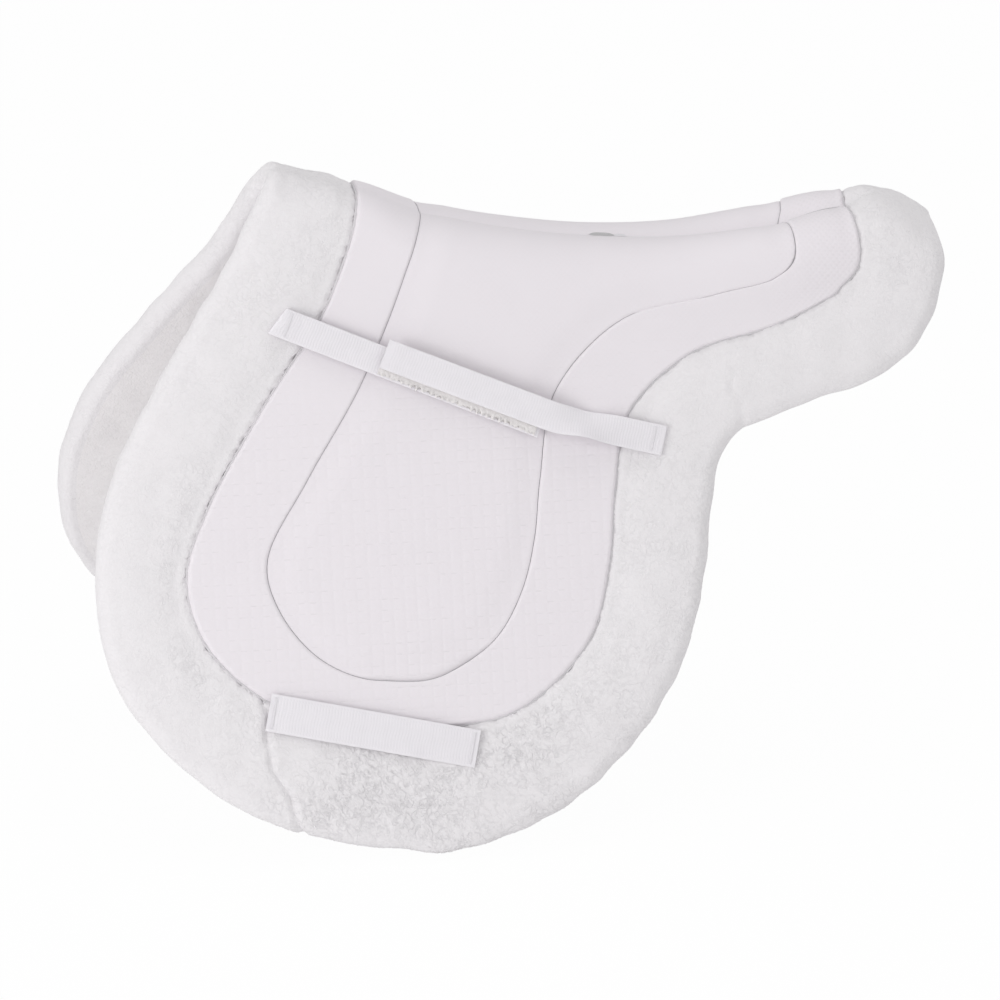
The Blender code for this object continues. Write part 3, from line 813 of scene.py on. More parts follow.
@dataclass(frozen=True)
class CottonFinish(Finish):
    """Waffle cotton: fine dots, strong on the cantle, and broken stitches on the lower flap, with
    painted light on the dots and painted shade in the hollows and stitches.
    """

    slot: Slot = Slot.COTTON
    dot: float = 5.0 * MM
    rear: float = 0.09

    def surface(self, shader: Shader) -> Surface:
        """The dots and the dashes of the stitching, painted light and dark with their relief, over
        a tone from the attribute that holds painted shade by the seams.

        Args:
            shader: The material and its nodes.

        Returns:
            What the finish feeds to the shader.
        """
        along, across = shader.pattern()
        row = (1 - (across * (PI / QUILT_DOWN)).sine().size() * 6.0).clipped()
        stitch = ((along * (2 * PI / QUILT_ALONG)).sine() * 2.0 + 0.5).clipped()
        low = ((across - QUILT_HIGH) * (1 / QUILT_FADE)).clipped() * 0.85 + 0.15
        dash = row * stitch * shader.patches(75.0, 5.0, 2.1) * low
        turn = 2 * PI / self.dot
        dots = (along * turn).sine() * (across * turn).sine()
        rear = ((along - self.rear) * 16.0).clipped()
        fine = shader.noise(900.0, 3.0)
        # The attribute darkens the cloth by its seams, the dashes darken the stitched valleys, and
        # the dots lighten the waffle's tops and darken its hollows: painted light and shade. The
        # two noises are the cloth's own tone.
        share = (shader.attribute("pile") - dash * 0.3 + shader.noise(20.0, 3.0) * 0.16 + fine * 0.1
                 + dots * (rear * 0.13 + 0.02) - 0.13).clipped()
        height = dots * (rear * 0.9 + 0.2) + fine * 0.5 - dash * 1.6
        return Surface(share, height, 0.3, 0.3 * MM, shader.noise(120.0) * 0.12 + 0.76, 0.15)


@dataclass(frozen=True)
class WebbingFinish(Finish):
    """Ribbed webbing, whose fine threads slant across each rib, with painted shade between ribs and
    threads.
    """

    slot: Slot = Slot.WEBBING
    thread: float = 0.75 * MM

    def surface(self, shader: Shader) -> Surface:
        """The crossing threads, painted darker in their dips as shade, over a tone from the
        attribute that holds painted shade between the ribs.

        Args:
            shader: The material and its nodes.

        Returns:
            What the finish feeds to the shader.
        """
        along, across = shader.pattern()
        turn = 2 * PI / self.thread
        slant = (along * turn + across * turn).sine() * ((across - along) * turn).sine()
        # The attribute and the slant term paint shade into the valleys between ribs and threads;
        # the noise is the webbing's own tone.
        share = (shader.attribute("pile") + slant * 0.1 + shader.noise(60.0) * 0.2 - 0.12).clipped()
        height = slant + shader.noise(1200.0) * 0.5
        return Surface(share, height, 0.4, 0.2 * MM, shader.noise(200.0) * 0.15 + 0.5, 0.1)


@dataclass(frozen=True)
class ThreadFinish(Finish):
    """Twisted sewing thread."""

    twist_along: float = 0.9 * MM
    twist_across: float = 1.4 * MM

    def surface(self, shader: Shader) -> Surface:
        """The slanting twist.

        Args:
            shader: The material and its nodes.

        Returns:
            What the finish feeds to the shader.
        """
        along, across = shader.pattern()
        twist = (along * (2 * PI / self.twist_along) + across * (2 * PI / self.twist_across)).sine()
        # The twist darkens the thread's grooves: painted shade. The noise is the thread's own tone.
        share = (twist * 0.3 + shader.noise(500.0)).clipped()
        return Surface(share, twist, 0.5, 0.15 * MM, shader.noise(400.0) * 0.1 + 0.6, 0.1)


@dataclass(frozen=True)
class FoamFinish(Finish):
    """Open-cell foam."""

    slot: Slot = Slot.FOAM

    def surface(self, shader: Shader) -> Surface:
        """The cells.

        Args:
            shader: The material and its nodes.

        Returns:
            What the finish feeds to the shader.
        """
        # The foam is darkest at the cells' middles: painted shade in its pores.
        cells = shader.cells(900.0)
        return Surface((cells * 1.6).clipped(), cells, 0.6, 0.4 * MM,
                       shader.noise(200.0) * 0.1 + 0.85, 0.0)


class Look(Enum):
    """All finishes of the pad."""

    # The dark colours below mostly stand for painted shade: fleece creases, cotton stitches and
    # seams, webbing ribs, tape pockets and foam pores.
    FLEECE = FleeceFinish("fleece_pile", (0.80, 0.778, 0.795), (0.60, 0.58, 0.60))
    # The lining is the roll's fleece, made lighter to make up for the shade inside the flaps:
    # painted light.
    LINING = FleeceFinish("lining_pile", (0.84, 0.815, 0.825), (0.63, 0.61, 0.615), Slot.LINING)
    COTTON = CottonFinish("quilted_cotton_face", (0.80, 0.762, 0.795), (0.60, 0.57, 0.595))
    FOAM = FoamFinish("foam_cells", (0.88, 0.86, 0.78), (0.72, 0.69, 0.6))
    WEBBING = WebbingFinish("webbing_ribs", (0.87, 0.845, 0.88), (0.64, 0.62, 0.65))
    TAPE = WebbingFinish("hook_tape_pile", (0.87, 0.84, 0.84), (0.58, 0.55, 0.54), Slot.TAPE)
    WHITE_THREAD = ThreadFinish("white_thread", (0.81, 0.785, 0.82), (0.75, 0.73, 0.76))
    # Grey thread laid in the inner seam and at the spine join: painted shade.
    SEAM_SHADE_THREAD = ThreadFinish("seam_shade_thread", (0.50, 0.49, 0.51), (0.36, 0.35, 0.37))
    # A grey fleece tube that closes the groove from below: painted shade.
    GROOVE_THREAD = FleeceFinish("groove_painted_shade", (0.64, 0.62, 0.64), (0.46, 0.45, 0.46), Slot.THREAD)
    # A grey strip inside the spine gap: painted shade.
    DARK_THREAD = ThreadFinish("dark_thread", (0.56, 0.55, 0.56), (0.48, 0.47, 0.48))


@dataclass
class Workshop:
    """Hands out the shared shapes and finishes, and makes the pieces."""

    back: Back
    outline: Outline
    materials: dict[Look, bpy.types.Material]
    fold_width: float = 50.0 * MM
    fold_height: float = 40.0 * MM

    def bent(self, flat: Array, out: Array, side: Side, pattern: Array | None = None) -> Skin:
        """A skin through flat places, bent over the back.

        Args:
            flat: The places (along, down).
            out: Height of the skin at each.
            side: The half of the pad.
            pattern: What the finish reads there, or along and drop where it is left out.

        Returns:
            The skin.
        """
        if pattern is None:
            pattern = np.dstack((flat[..., 0], self.back.drop(flat)))
        return Skin(self.back.bend(np.dstack((flat, out)), side), pattern)

    def make(self, name: str, skin: Skin, tone: Array, look: Look, *nodes: str,
             fill: float | None = None) -> bpy.types.Object:
        """Make a piece, give it its finish and hide the solids that it stands for.

        Args:
            name: The piece's name.
            skin: Its skin.
            tone: What its finish reads at each point of the skin.
            look: Its finish.
            *nodes: The solids that it stands for.
            fill: How full a padded piece is; not used.

        Returns:
            The piece.
        """
        piece = skin.to_object(name, tone)
        piece.data.materials.append(self.materials[look])
        if nodes:
            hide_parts(*nodes)
        LOG.info("%s: %d faces", piece.name, len(piece.data.polygons))
        return piece

    def over_the_fold(self, piece: bpy.types.Object, side: Side) -> None:
        """Bake a piece's transform into its mesh."""
        side.value * self.fold_width
        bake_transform(piece)


def nearest_on(points: Array, line: Array) -> tuple[Array, Array]:
    """Distance from each flat point to a dense line, and the index of the nearest place on it.

    Args:
        points: Flat points.
        line: The line's points, a row each.

    Returns:
        The distances and the indices.
    """
    flat = points.reshape(-1, 2)
    found = np.empty(len(flat))
    index = np.empty(len(flat), int)
    for start in range(0, len(flat), NEAREST_BATCH):
        batch = slice(start, start + NEAREST_BATCH)
        gaps = flat[batch, None, :] - line[None, :, :]
        squares = np.sum(gaps * gaps, axis=2)
        index[batch] = np.argmin(squares, axis=1)
        found[batch] = np.sqrt(np.min(squares, axis=1))
    return found.reshape(points.shape[:-1]), index.reshape(points.shape[:-1])


@dataclass(frozen=True)
class Pile:
    """The fleece's face, which runs on wherever two fleece pieces meet: curls over slow lumps."""

    curl_height: float = 2.0 * MM
    lump_height: float = 0.5 * MM
    wander: float = 2.0 * MM
    inside_bold: float = 0.2
    drift: float = 9.0 * MM
    large: float = 5.6 * MM
    small: float = 3.2 * MM
    lump: float = 34.0 * MM

    def at(self, points: Array, bold: Array) -> Array:
        """Height of the fleece: curl_height * bold * (curls - 0.5), plus the lumps.

        Args:
            points: Points in space.
            bold: How strongly the curls stand at each, from 0 to about 1.

        Returns:
            The height at each point.
        """
        moved = np.stack([Ripple(self.drift, seed).at(points) for seed in (3, 4, 5)], axis=-1)
        warped = points + self.wander * moved
        large, small = Curls(self.large, 11).at(warped), Curls(self.small, 12).at(warped)
        curls = 0.6 * large + 0.4 * small
        lumps = self.lump_height * Ripple(self.lump, 22).at(points)
        return self.curl_height * bold * (curls - 0.5) + lumps


@dataclass(frozen=True)
class RollEnd:
    """Where a length of the roll ends: its outer and inner row, and the seam's depth."""

    outer: float
    inner: float
    pinch: float = 0.0

    @property
    def middle(self) -> float:
        """The row halfway across the roll."""
        return (self.outer + self.inner) / 2


@dataclass
class RolledEdge:
    """The wide fleece roll round the edge of one half, in three lengths sewn end to end."""

    shop: Workshop
    side: Side
    pile: Pile = Pile()
    nose: float = 12.0 * MM
    groove: float = 7.0 * MM
    wrap: float = 14.0 * MM
    usual_width: float = 85.0 * MM
    foot: RollEnd = RollEnd(7.05, 6.02, 3.0 * MM)
    waist: RollEnd = RollEnd(15.15, 15.5, 0.8 * MM)
    wobble: float = 0.035
    pitch: float = 1.3 * MM
    pinch_reach: float = 4.5 * MM
    dip_reach: float = 3.5 * MM
    bold: Curve = Curve.steady((
        (0.0, 0.30), (2.0, 0.20), (4.0, 0.12), (6.3, 0.28), (7.2, 0.8), (9.0, 0.85), (10.5, 0.45),
        (12.5, 0.34), (14.0, 0.26), (15.5, 0.10), (17.0, 0.14), (20.0, 0.28)))
    dip: Curve = Curve.steady((
        (0.0, 1.5), (2.4, 1.5), (3.2, 0.7), (5.0, 0.5), (7.0, 0.2), (20.0, 0.2)))

    def section(self) -> tuple[Array, int]:
        """The loop round the roll.

        Returns:
            A row of (fixed distance, share of the width, out) for each point of the loop, and how
            many of them lie on the fleece's face.
        """
        nose, crown = self.nose, ROLL_CROWN
        knots = np.array((
            (self.wrap, 0.0, -THICKNESS),
            (0.66 * nose, 0.0, -0.975 * THICKNESS),
            (0.33 * nose, 0.0, -0.87 * THICKNESS),
            (0.10 * nose, 0.0, -0.68 * THICKNESS),
            (0.0, 0.0, -0.42 * THICKNESS),
            (0.12 * nose, 0.0, -0.18 * THICKNESS),
            (0.60 * nose, 0.0, 0.20 * crown),
            (0.0, 0.26, 0.90 * crown),
            (0.0, 0.50, crown),
            (0.0, 0.74, 0.66 * crown),
            (-9.0 * MM, 1.0, 0.02 * self.groove),
            (-3.2 * MM, 1.0, -0.09 * self.groove),
            (-0.2 * MM, 1.0, -0.30 * self.groove),
        ))
        reach = knots[:, 0] + self.usual_width * knots[:, 1]
        marks = lengths_along(np.column_stack((reach, knots[:, 2])))
        count = round(marks[-1] / self.pitch) + 1
        face = Curve.through(knots, marks).at(np.linspace(0.0, marks[-1], count))
        wall = [(0.0, 1.0, out) for out in np.linspace(-self.groove, FOAM_BOTTOM, 4)]
        floor = [(self.wrap * (1 - share), share, FOAM_BOTTOM)
                 for share in np.linspace(1.0, 0.0, 8)[1:]]
        rim = [(self.wrap, 0.0, out) for out in np.linspace(FOAM_BOTTOM, -THICKNESS, 4)[1:-1]]
        return np.vstack((face, wall, floor, rim)), count

    def build(self) -> None:
        """Make the three lengths of this half."""
        word, last = self.side.word, self.shop.outline.last
        top, rear = RollEnd(0.0, 0.0), RollEnd(last, last)
        self.length("front", top, self.foot, f"{word}_front_roll", "withers_roll")
        self.length("flap", self.foot, self.waist, f"{word}_flap_roll")
        self.length("cantle", self.waist, rear, f"{word}_cantle_end_roll", "cantle_roll")

    @staticmethod
    def lean(flat: Array, share: Array, out: Array) -> Array:
        """How far the fleece leans over the groove: uneven, and mostly standing back.

        Args:
            flat: Flat places (along, down).
            share: How far each lies across the roll.
            out: Height of each.

        Returns:
            The distance at each place.
        """
        places = np.dstack((flat, np.zeros(share.shape)))
        wave = 0.9 * MM * Ripple(9 * MM, 41).at(places) + 0.6 * MM * Ripple(3.6 * MM, 42).at(places)
        near = eased((share - 0.90) / 0.08) * eased((out + 12 * MM) / (8 * MM))
        return np.clip(wave, -1.2 * MM, 0.8 * MM) * near

    def boldness(self, points: Array, grid: Array, share: Array, under: Array) -> Array:
        """How strongly the curls stand: patchy, weak at the groove and even on the inner face.

        Args:
            points: Points of the skin.
            grid: The row of each.
            share: How far each lies across the roll.
            under: 1 on the inner face, and 0 on the outer one.

        Returns:
            The strength at each point.
        """
        bold = self.bold.value(grid)
        bold = bold + 0.35 * np.exp(-(((share - 0.74) / 0.14) ** 2) - ((grid - 4.6) / 1.8) ** 2)
        bold = bold * (1 + 0.35 * Ripple(70 * MM, 21).at(points))
        bold = bold * (1 - 0.75 * eased((share - 0.86) / 0.1))
        return bold * (1 - under) + self.pile.inside_bold * under

    def sink(self, points: Array, first: RollEnd, final: RollEnd, under: Array) -> Array:
        """How far the seams at both ends of a length draw its outer face in.

        Args:
            points: Points of the skin.
            first: Where the length starts.
            final: Where it ends.
            under: 1 on the inner face, and 0 on the outer one.

        Returns:
            The depth at each point.
        """
        steps = np.cumsum(np.linalg.norm(np.diff(points, axis=0), axis=-1), axis=0)
        run = np.vstack((np.zeros(points.shape[1]), steps))
        sink = first.pinch * np.exp(-((run / self.pinch_reach) ** 2))
        sink = sink + final.pinch * np.exp(-(((run[-1] - run) / self.pinch_reach) ** 2))
        return sink * (0.75 + 0.35 * Ripple(16 * MM, 23).at(points)) * (1 - under)

    def length(self, part: str, first: RollEnd, final: RollEnd, *nodes: str) -> None:
        """Make one length of the roll, whose row changes evenly between two slanted seams.

        Args:
            part: The length's word.
            first: Where it starts.
            final: Where it ends.
            *nodes: The solids that it stands for.
        """
        outline = self.shop.outline
        loop, face_points = self.section()
        rows = outline.evenly(outline.middle, first.middle, final.middle, self.pitch)
        share = np.clip((loop[:, 0] + loop[:, 1] * self.usual_width) / self.usual_width, 0.0, 1.0)
        p = ((rows - rows[0]) / (rows[-1] - rows[0]))[:, None]
        wander = self.wobble * (np.sin(9 * share) + 0.5 * np.sin(23 * share + 1)) * eased(share * 5)
        start, end = (
            seam.outer + (seam.inner - seam.outer) * share[None, :]
            + wander * (0 < seam.outer < outline.last) for seam in (first, final))
        grid = rows[:, None] + (start - rows[0]) * (1 - p) + (end - rows[-1]) * p
        edge, groove = outline.edge(grid), outline.groove(grid)
        width = np.linalg.norm(groove - edge, axis=-1)
        reach = loop[None, :, 0] + loop[None, :, 1] * width
        out = np.broadcast_to(loop[:, 2], grid.shape)
        dip = self.dip.value(grid) * MM * np.exp(-(((width - reach) / self.dip_reach) ** 2))
        out = out - dip * (loop[None, :, 1] > 0.5) * (out > -self.groove)
        flat = edge + (groove - edge) * (reach / width)[..., None]
        reach = reach + self.lean(flat, reach / width, out)
        flat = edge + (groove - edge) * (reach / width)[..., None]
        flat[..., 1] = np.maximum(flat[..., 1], 0.0)
        skin = self.shop.bent(flat, out, self.side, np.dstack((grid, reach)))
        grid, share, out = (skin.facing(values) for values in (grid, reach / width, out))
        outer = skin.facing(np.broadcast_to(np.arange(len(loop)) < face_points, grid.shape))
        under = eased((-out / THICKNESS - 0.55) / 0.35)
        bold = self.boldness(skin.points, grid, share, under)
        height = self.pile.at(skin.points, bold) - self.sink(skin.points, first, final, under)
        skin.raise_by(height * outer, open_start=True)
        word = self.side.word
        # The boldness, kept as the tone, also sets how dark the finish paints the shade in the
        # creases.
        piece = self.shop.make(f"{word}_{part}_roll_fleece", skin, np.clip(bold, 0, 1), Look.FLEECE,
                               *nodes, fill=0.7)
        if part == "flap":
            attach(piece, f"{word}_flap")
        else:
            self.shop.over_the_fold(piece, self.side)


@dataclass(frozen=True)
class InnerSeam:
    """How the seam between band and seat panel lies, in mm by row: open and dark, or closed."""

    gap: Curve = Curve.steady((
        (0.0, 0.27), (6.6, 0.27), (7.4, 0.11), (9.0, 0.10), (10.0, 0.27), (14.2, 0.28),
        (15.4, 0.15), (17.2, 0.18), (17.9, 0.5), (20.0, 0.45)))
    band_edge: Curve = Curve.steady((
        (0.0, 0.6), (6.4, 0.6), (7.4, -0.3), (9.0, -0.3), (10.0, 0.6), (14.2, 0.7), (15.4, 0.4),
        (17.2, 0.4), (18.0, 0.9), (20.0, 0.8)))
    seat_edge: Curve = Curve.steady((
        (0.0, 0.6), (6.4, 0.7), (7.4, 1.3), (9.0, 1.4), (10.0, 0.7), (14.2, 0.7), (15.4, 0.4),
        (17.2, 0.4), (18.0, 0.9), (20.0, 0.8)))


def quilted(along: Array, drop: Array) -> Array:
    """Height of the waffle quilting: a low pillow in each cell, which fades out over the seat.

    Each pillow is the product of two flat-topped waves: 1 - (1 - |sin|) ** 3 along and down.

    Args:
        along: Where each place lies along the spine.
        drop: How far it lies below the spine.

    Returns:
        One height for each place.
    """
    ways = np.abs(np.sin(np.pi * along / QUILT_ALONG))
    rows = np.abs(np.sin(np.pi * drop / QUILT_DOWN))
    pillows = (1 - (1 - ways) ** 3) * (1 - (1 - rows) ** 3)
    low = 0.1 + 0.9 * eased((drop - QUILT_HIGH) / QUILT_FADE)
    return QUILT_HEIGHT * low * (pillows - 0.7)


@dataclass
class QuiltBand:
    """The quilted band between the groove and the inner seam of one half."""

    shop: Workshop
    side: Side
    crown: float = 1.2 * MM
    edge: float = 1.6 * MM
    shoulder: float = 2.8 * MM
    seam_shoulder: float = 2.6 * MM
    gap: float = 0.25 * MM
    gap_wave: float = 7.0 * MM
    rim: float = 4.0 * MM
    pitch: float = 1.4 * MM
    columns: int = 52
    seam: InnerSeam = InnerSeam()

    def build(self) -> None:
        """Make the band, whose face rises from both seams to its crown.

        Each edge's depth is taken off where its own rise is missing.
        """
        outline, back = self.shop.outline, self.shop.back
        rows = outline.evenly(outline.groove, 0.0, outline.last, self.pitch)
        groove, seam = outline.groove(rows), outline.seam(rows)
        width = np.linalg.norm(seam - groove, axis=-1)[:, None]
        shares = np.concatenate((np.linspace(0, 1, self.columns), np.linspace(1, 0, 5)[1:-1]))
        under = np.arange(len(shares))[None, :] >= self.columns
        seam_gap, depth = (curve.value(rows)[:, None] * MM
                           for curve in (self.seam.gap, self.seam.band_edge))
        wave = Ripple(self.gap_wave, 51).at(np.column_stack((groove, 0 * rows)))[:, None]
        uneven = self.gap * (1 + 0.7 * wave)
        reach = uneven + (width - uneven - seam_gap) * shares[None, :]
        flat = groove[:, None, :] + (seam - groove)[:, None, :] * (reach / width)[..., None]
        flat[..., 1] = np.maximum(flat[..., 1], 0.0)
        to_groove, to_seam = reach - uneven, width - seam_gap - reach
        groove_rise, seam_rise = risen(to_groove, self.shoulder), risen(to_seam, self.seam_shoulder)
        out = self.crown * groove_rise * seam_rise
        out = out - self.edge * (1 - groove_rise) - depth * (1 - seam_rise)
        inner = eased(np.minimum(to_groove, to_seam) / self.rim)
        out = out + quilted(flat[..., 0], back.drop(flat)) * inner
        skin = self.shop.bent(flat, np.where(under, -COVER, out), self.side)
        # The tone darkens the band towards the groove and the inner seam, where it rolls down into
        # them: painted shade. The hidden under face takes a plain middle tone.
        tone = np.where(under, 0.5, 1 - 0.25 * (1 - groove_rise) ** 2 - 0.15 * (1 - seam_rise) ** 2)
        word = self.side.word
        piece = self.shop.make(f"{word}_quilt_band_cover", skin, skin.facing(tone), Look.COTTON,
                               f"{word}_quilt_band", "withers_band", "cantle_band", fill=0.4)
        self.shop.over_the_fold(piece, self.side)


@dataclass
class Panel:
    """A panel inside an outline of one half, with rows from the outline's front to its rear."""

    shop: Workshop
    side: Side
    pitch: float = 1.5 * MM

    def grid(self, line: Line, columns: int) -> tuple[Array, Array, Array]:
        """Places over the panel, on straight lines between the front and the rear of its outline.

        Args:
            line: The outline, by row.
            columns: How many places stand on each line.

        Returns:
            The flat places (along, down), their distance from the outline, and its nearest row.
        """
        outline = self.shop.outline
        ends = [outline.evenly(line, end, outline.TIP, self.pitch) for end in (0.0, outline.last)]
        count = max(len(rows) for rows in ends)
        shares = np.linspace(0.0, 1.0, count)
        front, rear = (line(np.interp(shares, np.linspace(0, 1, len(rows)), rows)[:-1])
                       for rows in ends)
        across = np.linspace(0.0, 1.0, columns)[None, :, None]
        places = front[:, None, :] * (1 - across) + rear[:, None, :] * across
        places[..., 1] = np.maximum(places[..., 1], 0.0)
        dense_rows = np.linspace(0.0, outline.last, OUTLINE_SAMPLES)
        distance, index = nearest_on(places, line(dense_rows))
        return places, distance, dense_rows[index]

    def finish(self, name: str, places: Array, faces: tuple[Array, Array], tone: Array, look: Look,
               fill: float, *nodes: str) -> None:
        """Close the panel with an under face, make the piece and bake its transform.

        Args:
            name: The piece's name, without its side.
            places: The flat places (along, down).
            faces: Height of the face and of the under face at each.
            tone: What the finish reads at each.
            look: The finish.
            fill: How full the panel is.
            *nodes: The solids that it stands for.
        """
        under = np.linspace(places.shape[1] - 1, 0, UNDER_COLUMNS).round().astype(int)
        top, bottom = faces
        flat, out, tones = (
            np.concatenate((upper, lower[:, under]), axis=1)
            for upper, lower in ((places, places), (top, bottom), (tone, tone)))
        skin = self.shop.bent(flat, out, self.side)
        piece = self.shop.make(f"{self.side.word}_{name}", skin, skin.facing(tones), look, *nodes,
                               fill=fill)
        self.shop.over_the_fold(piece, self.side)


@dataclass
class SeatPanel(Panel):
    """The seat and flap panel inside the inner seam of one half."""

    crown: float = 2.0 * MM
    shoulder: float = 2.6 * MM
    widening: float = 14.0
    widening_from: float = 1.0 * MM
    cushion: float = 26.0 * MM
    rim: float = 5.0 * MM
    spine_dip: float = 0.5 * MM
    spine_reach: float = 4.0 * MM
    deepest: float = 1.4 * MM
    shade_reach: float = 1.2 * MM
    seam: InnerSeam = InnerSeam()

    def line(self, rows: Array) -> Array:
        """The seam, drawn in by the gap."""
        seam, groove = self.shop.outline.seam(rows), self.shop.outline.groove(rows)
        return seam + unit(seam - groove) * (self.seam.gap.value(rows) * MM)[..., None]

    def build(self) -> None:
        """Make the panel: it rises over a shoulder from its seam, then slowly to its crown."""
        places, inside, rows = self.grid(self.line, 170)
        near_spine = np.clip(1 - places[..., 1] / self.spine_reach, 0, 1)
        depth = self.seam.seat_edge.value(rows) * MM
        shoulder = self.shoulder + self.widening * np.maximum(depth - self.widening_from, 0.0)
        rise = risen(inside, shoulder)
        slow = eased((inside - shoulder) / self.cushion)
        out = -depth * (1 - rise) + self.crown * slow - self.spine_dip * near_spine**2
        waffle = quilted(places[..., 0], self.shop.back.drop(places))
        out = out + waffle * eased(inside / self.rim)
        # The tone darkens the panel next to its seam, most where the seam sinks deep: painted
        # shade.
        deep = np.clip(depth / self.deepest, 0, 1) ** 2
        tone = 1 - 0.15 * np.exp(-inside / self.shade_reach) - 0.3 * deep * (1 - rise)
        word = self.side.word
        self.finish("seat_cover", places, (out, np.full(out.shape, -COVER)), tone, Look.COTTON, 0.5,
                    f"{word}_seat_panel", f"{word}_seat_top")


@dataclass
class FleeceLining(Panel):
    """The fleece on the inner face of one half, whose pile runs on from the roll's."""

    pitch: float = 1.8 * MM
    top: float = -16.0 * MM
    inset: float = 13.95 * MM
    pile: Pile = Pile()

    def line(self, rows: Array) -> Array:
        """The edge, drawn in by the inset."""
        edge, groove = self.shop.outline.edge(rows), self.shop.outline.groove(rows)
        return edge + unit(groove - edge) * self.inset

    def build(self) -> None:
        """Make the lining: level above and curled below."""
        places, inside, _ = self.grid(self.line, 220)
        level = np.full(inside.shape, -THICKNESS)
        low = self.shop.back.bend(np.dstack((places, level)), self.side)
        bold = np.full(inside.shape, self.pile.inside_bold)
        faces = (level - self.pile.at(low, bold), np.full(inside.shape, self.top))
        self.finish("lining_fleece", places, faces, bold, Look.LINING, 0.5,
                    f"{self.side.word}_fleece_lining", "spine_lining")


@dataclass
class FoamCore(Panel):
    """The foam between the cover and the lining of one half, which no view shows."""

    pitch: float = 6.0 * MM
    top: float = -4.6 * MM
    inset: float = 0.6 * MM
    rounding: float = 2.0 * MM
    rounding_reach: float = 3.0 * MM

    def line(self, rows: Array) -> Array:
        """The groove, drawn in by the inset."""
        edge, groove = self.shop.outline.edge(rows), self.shop.outline.groove(rows)
        return groove + unit(groove - edge) * self.inset

    def build(self) -> None:
        """Make the core, with its rim rounded over."""
        places, inside, _ = self.grid(self.line, 50)
        round_over = self.rounding * np.exp(-inside / self.rounding_reach)
        faces = (self.top - round_over, FOAM_BOTTOM + round_over)
        self.finish("foam_pad", places, faces, np.ones(inside.shape), Look.FOAM, 0.8,
                    f"{self.side.word}_foam_core", "spine_foam")


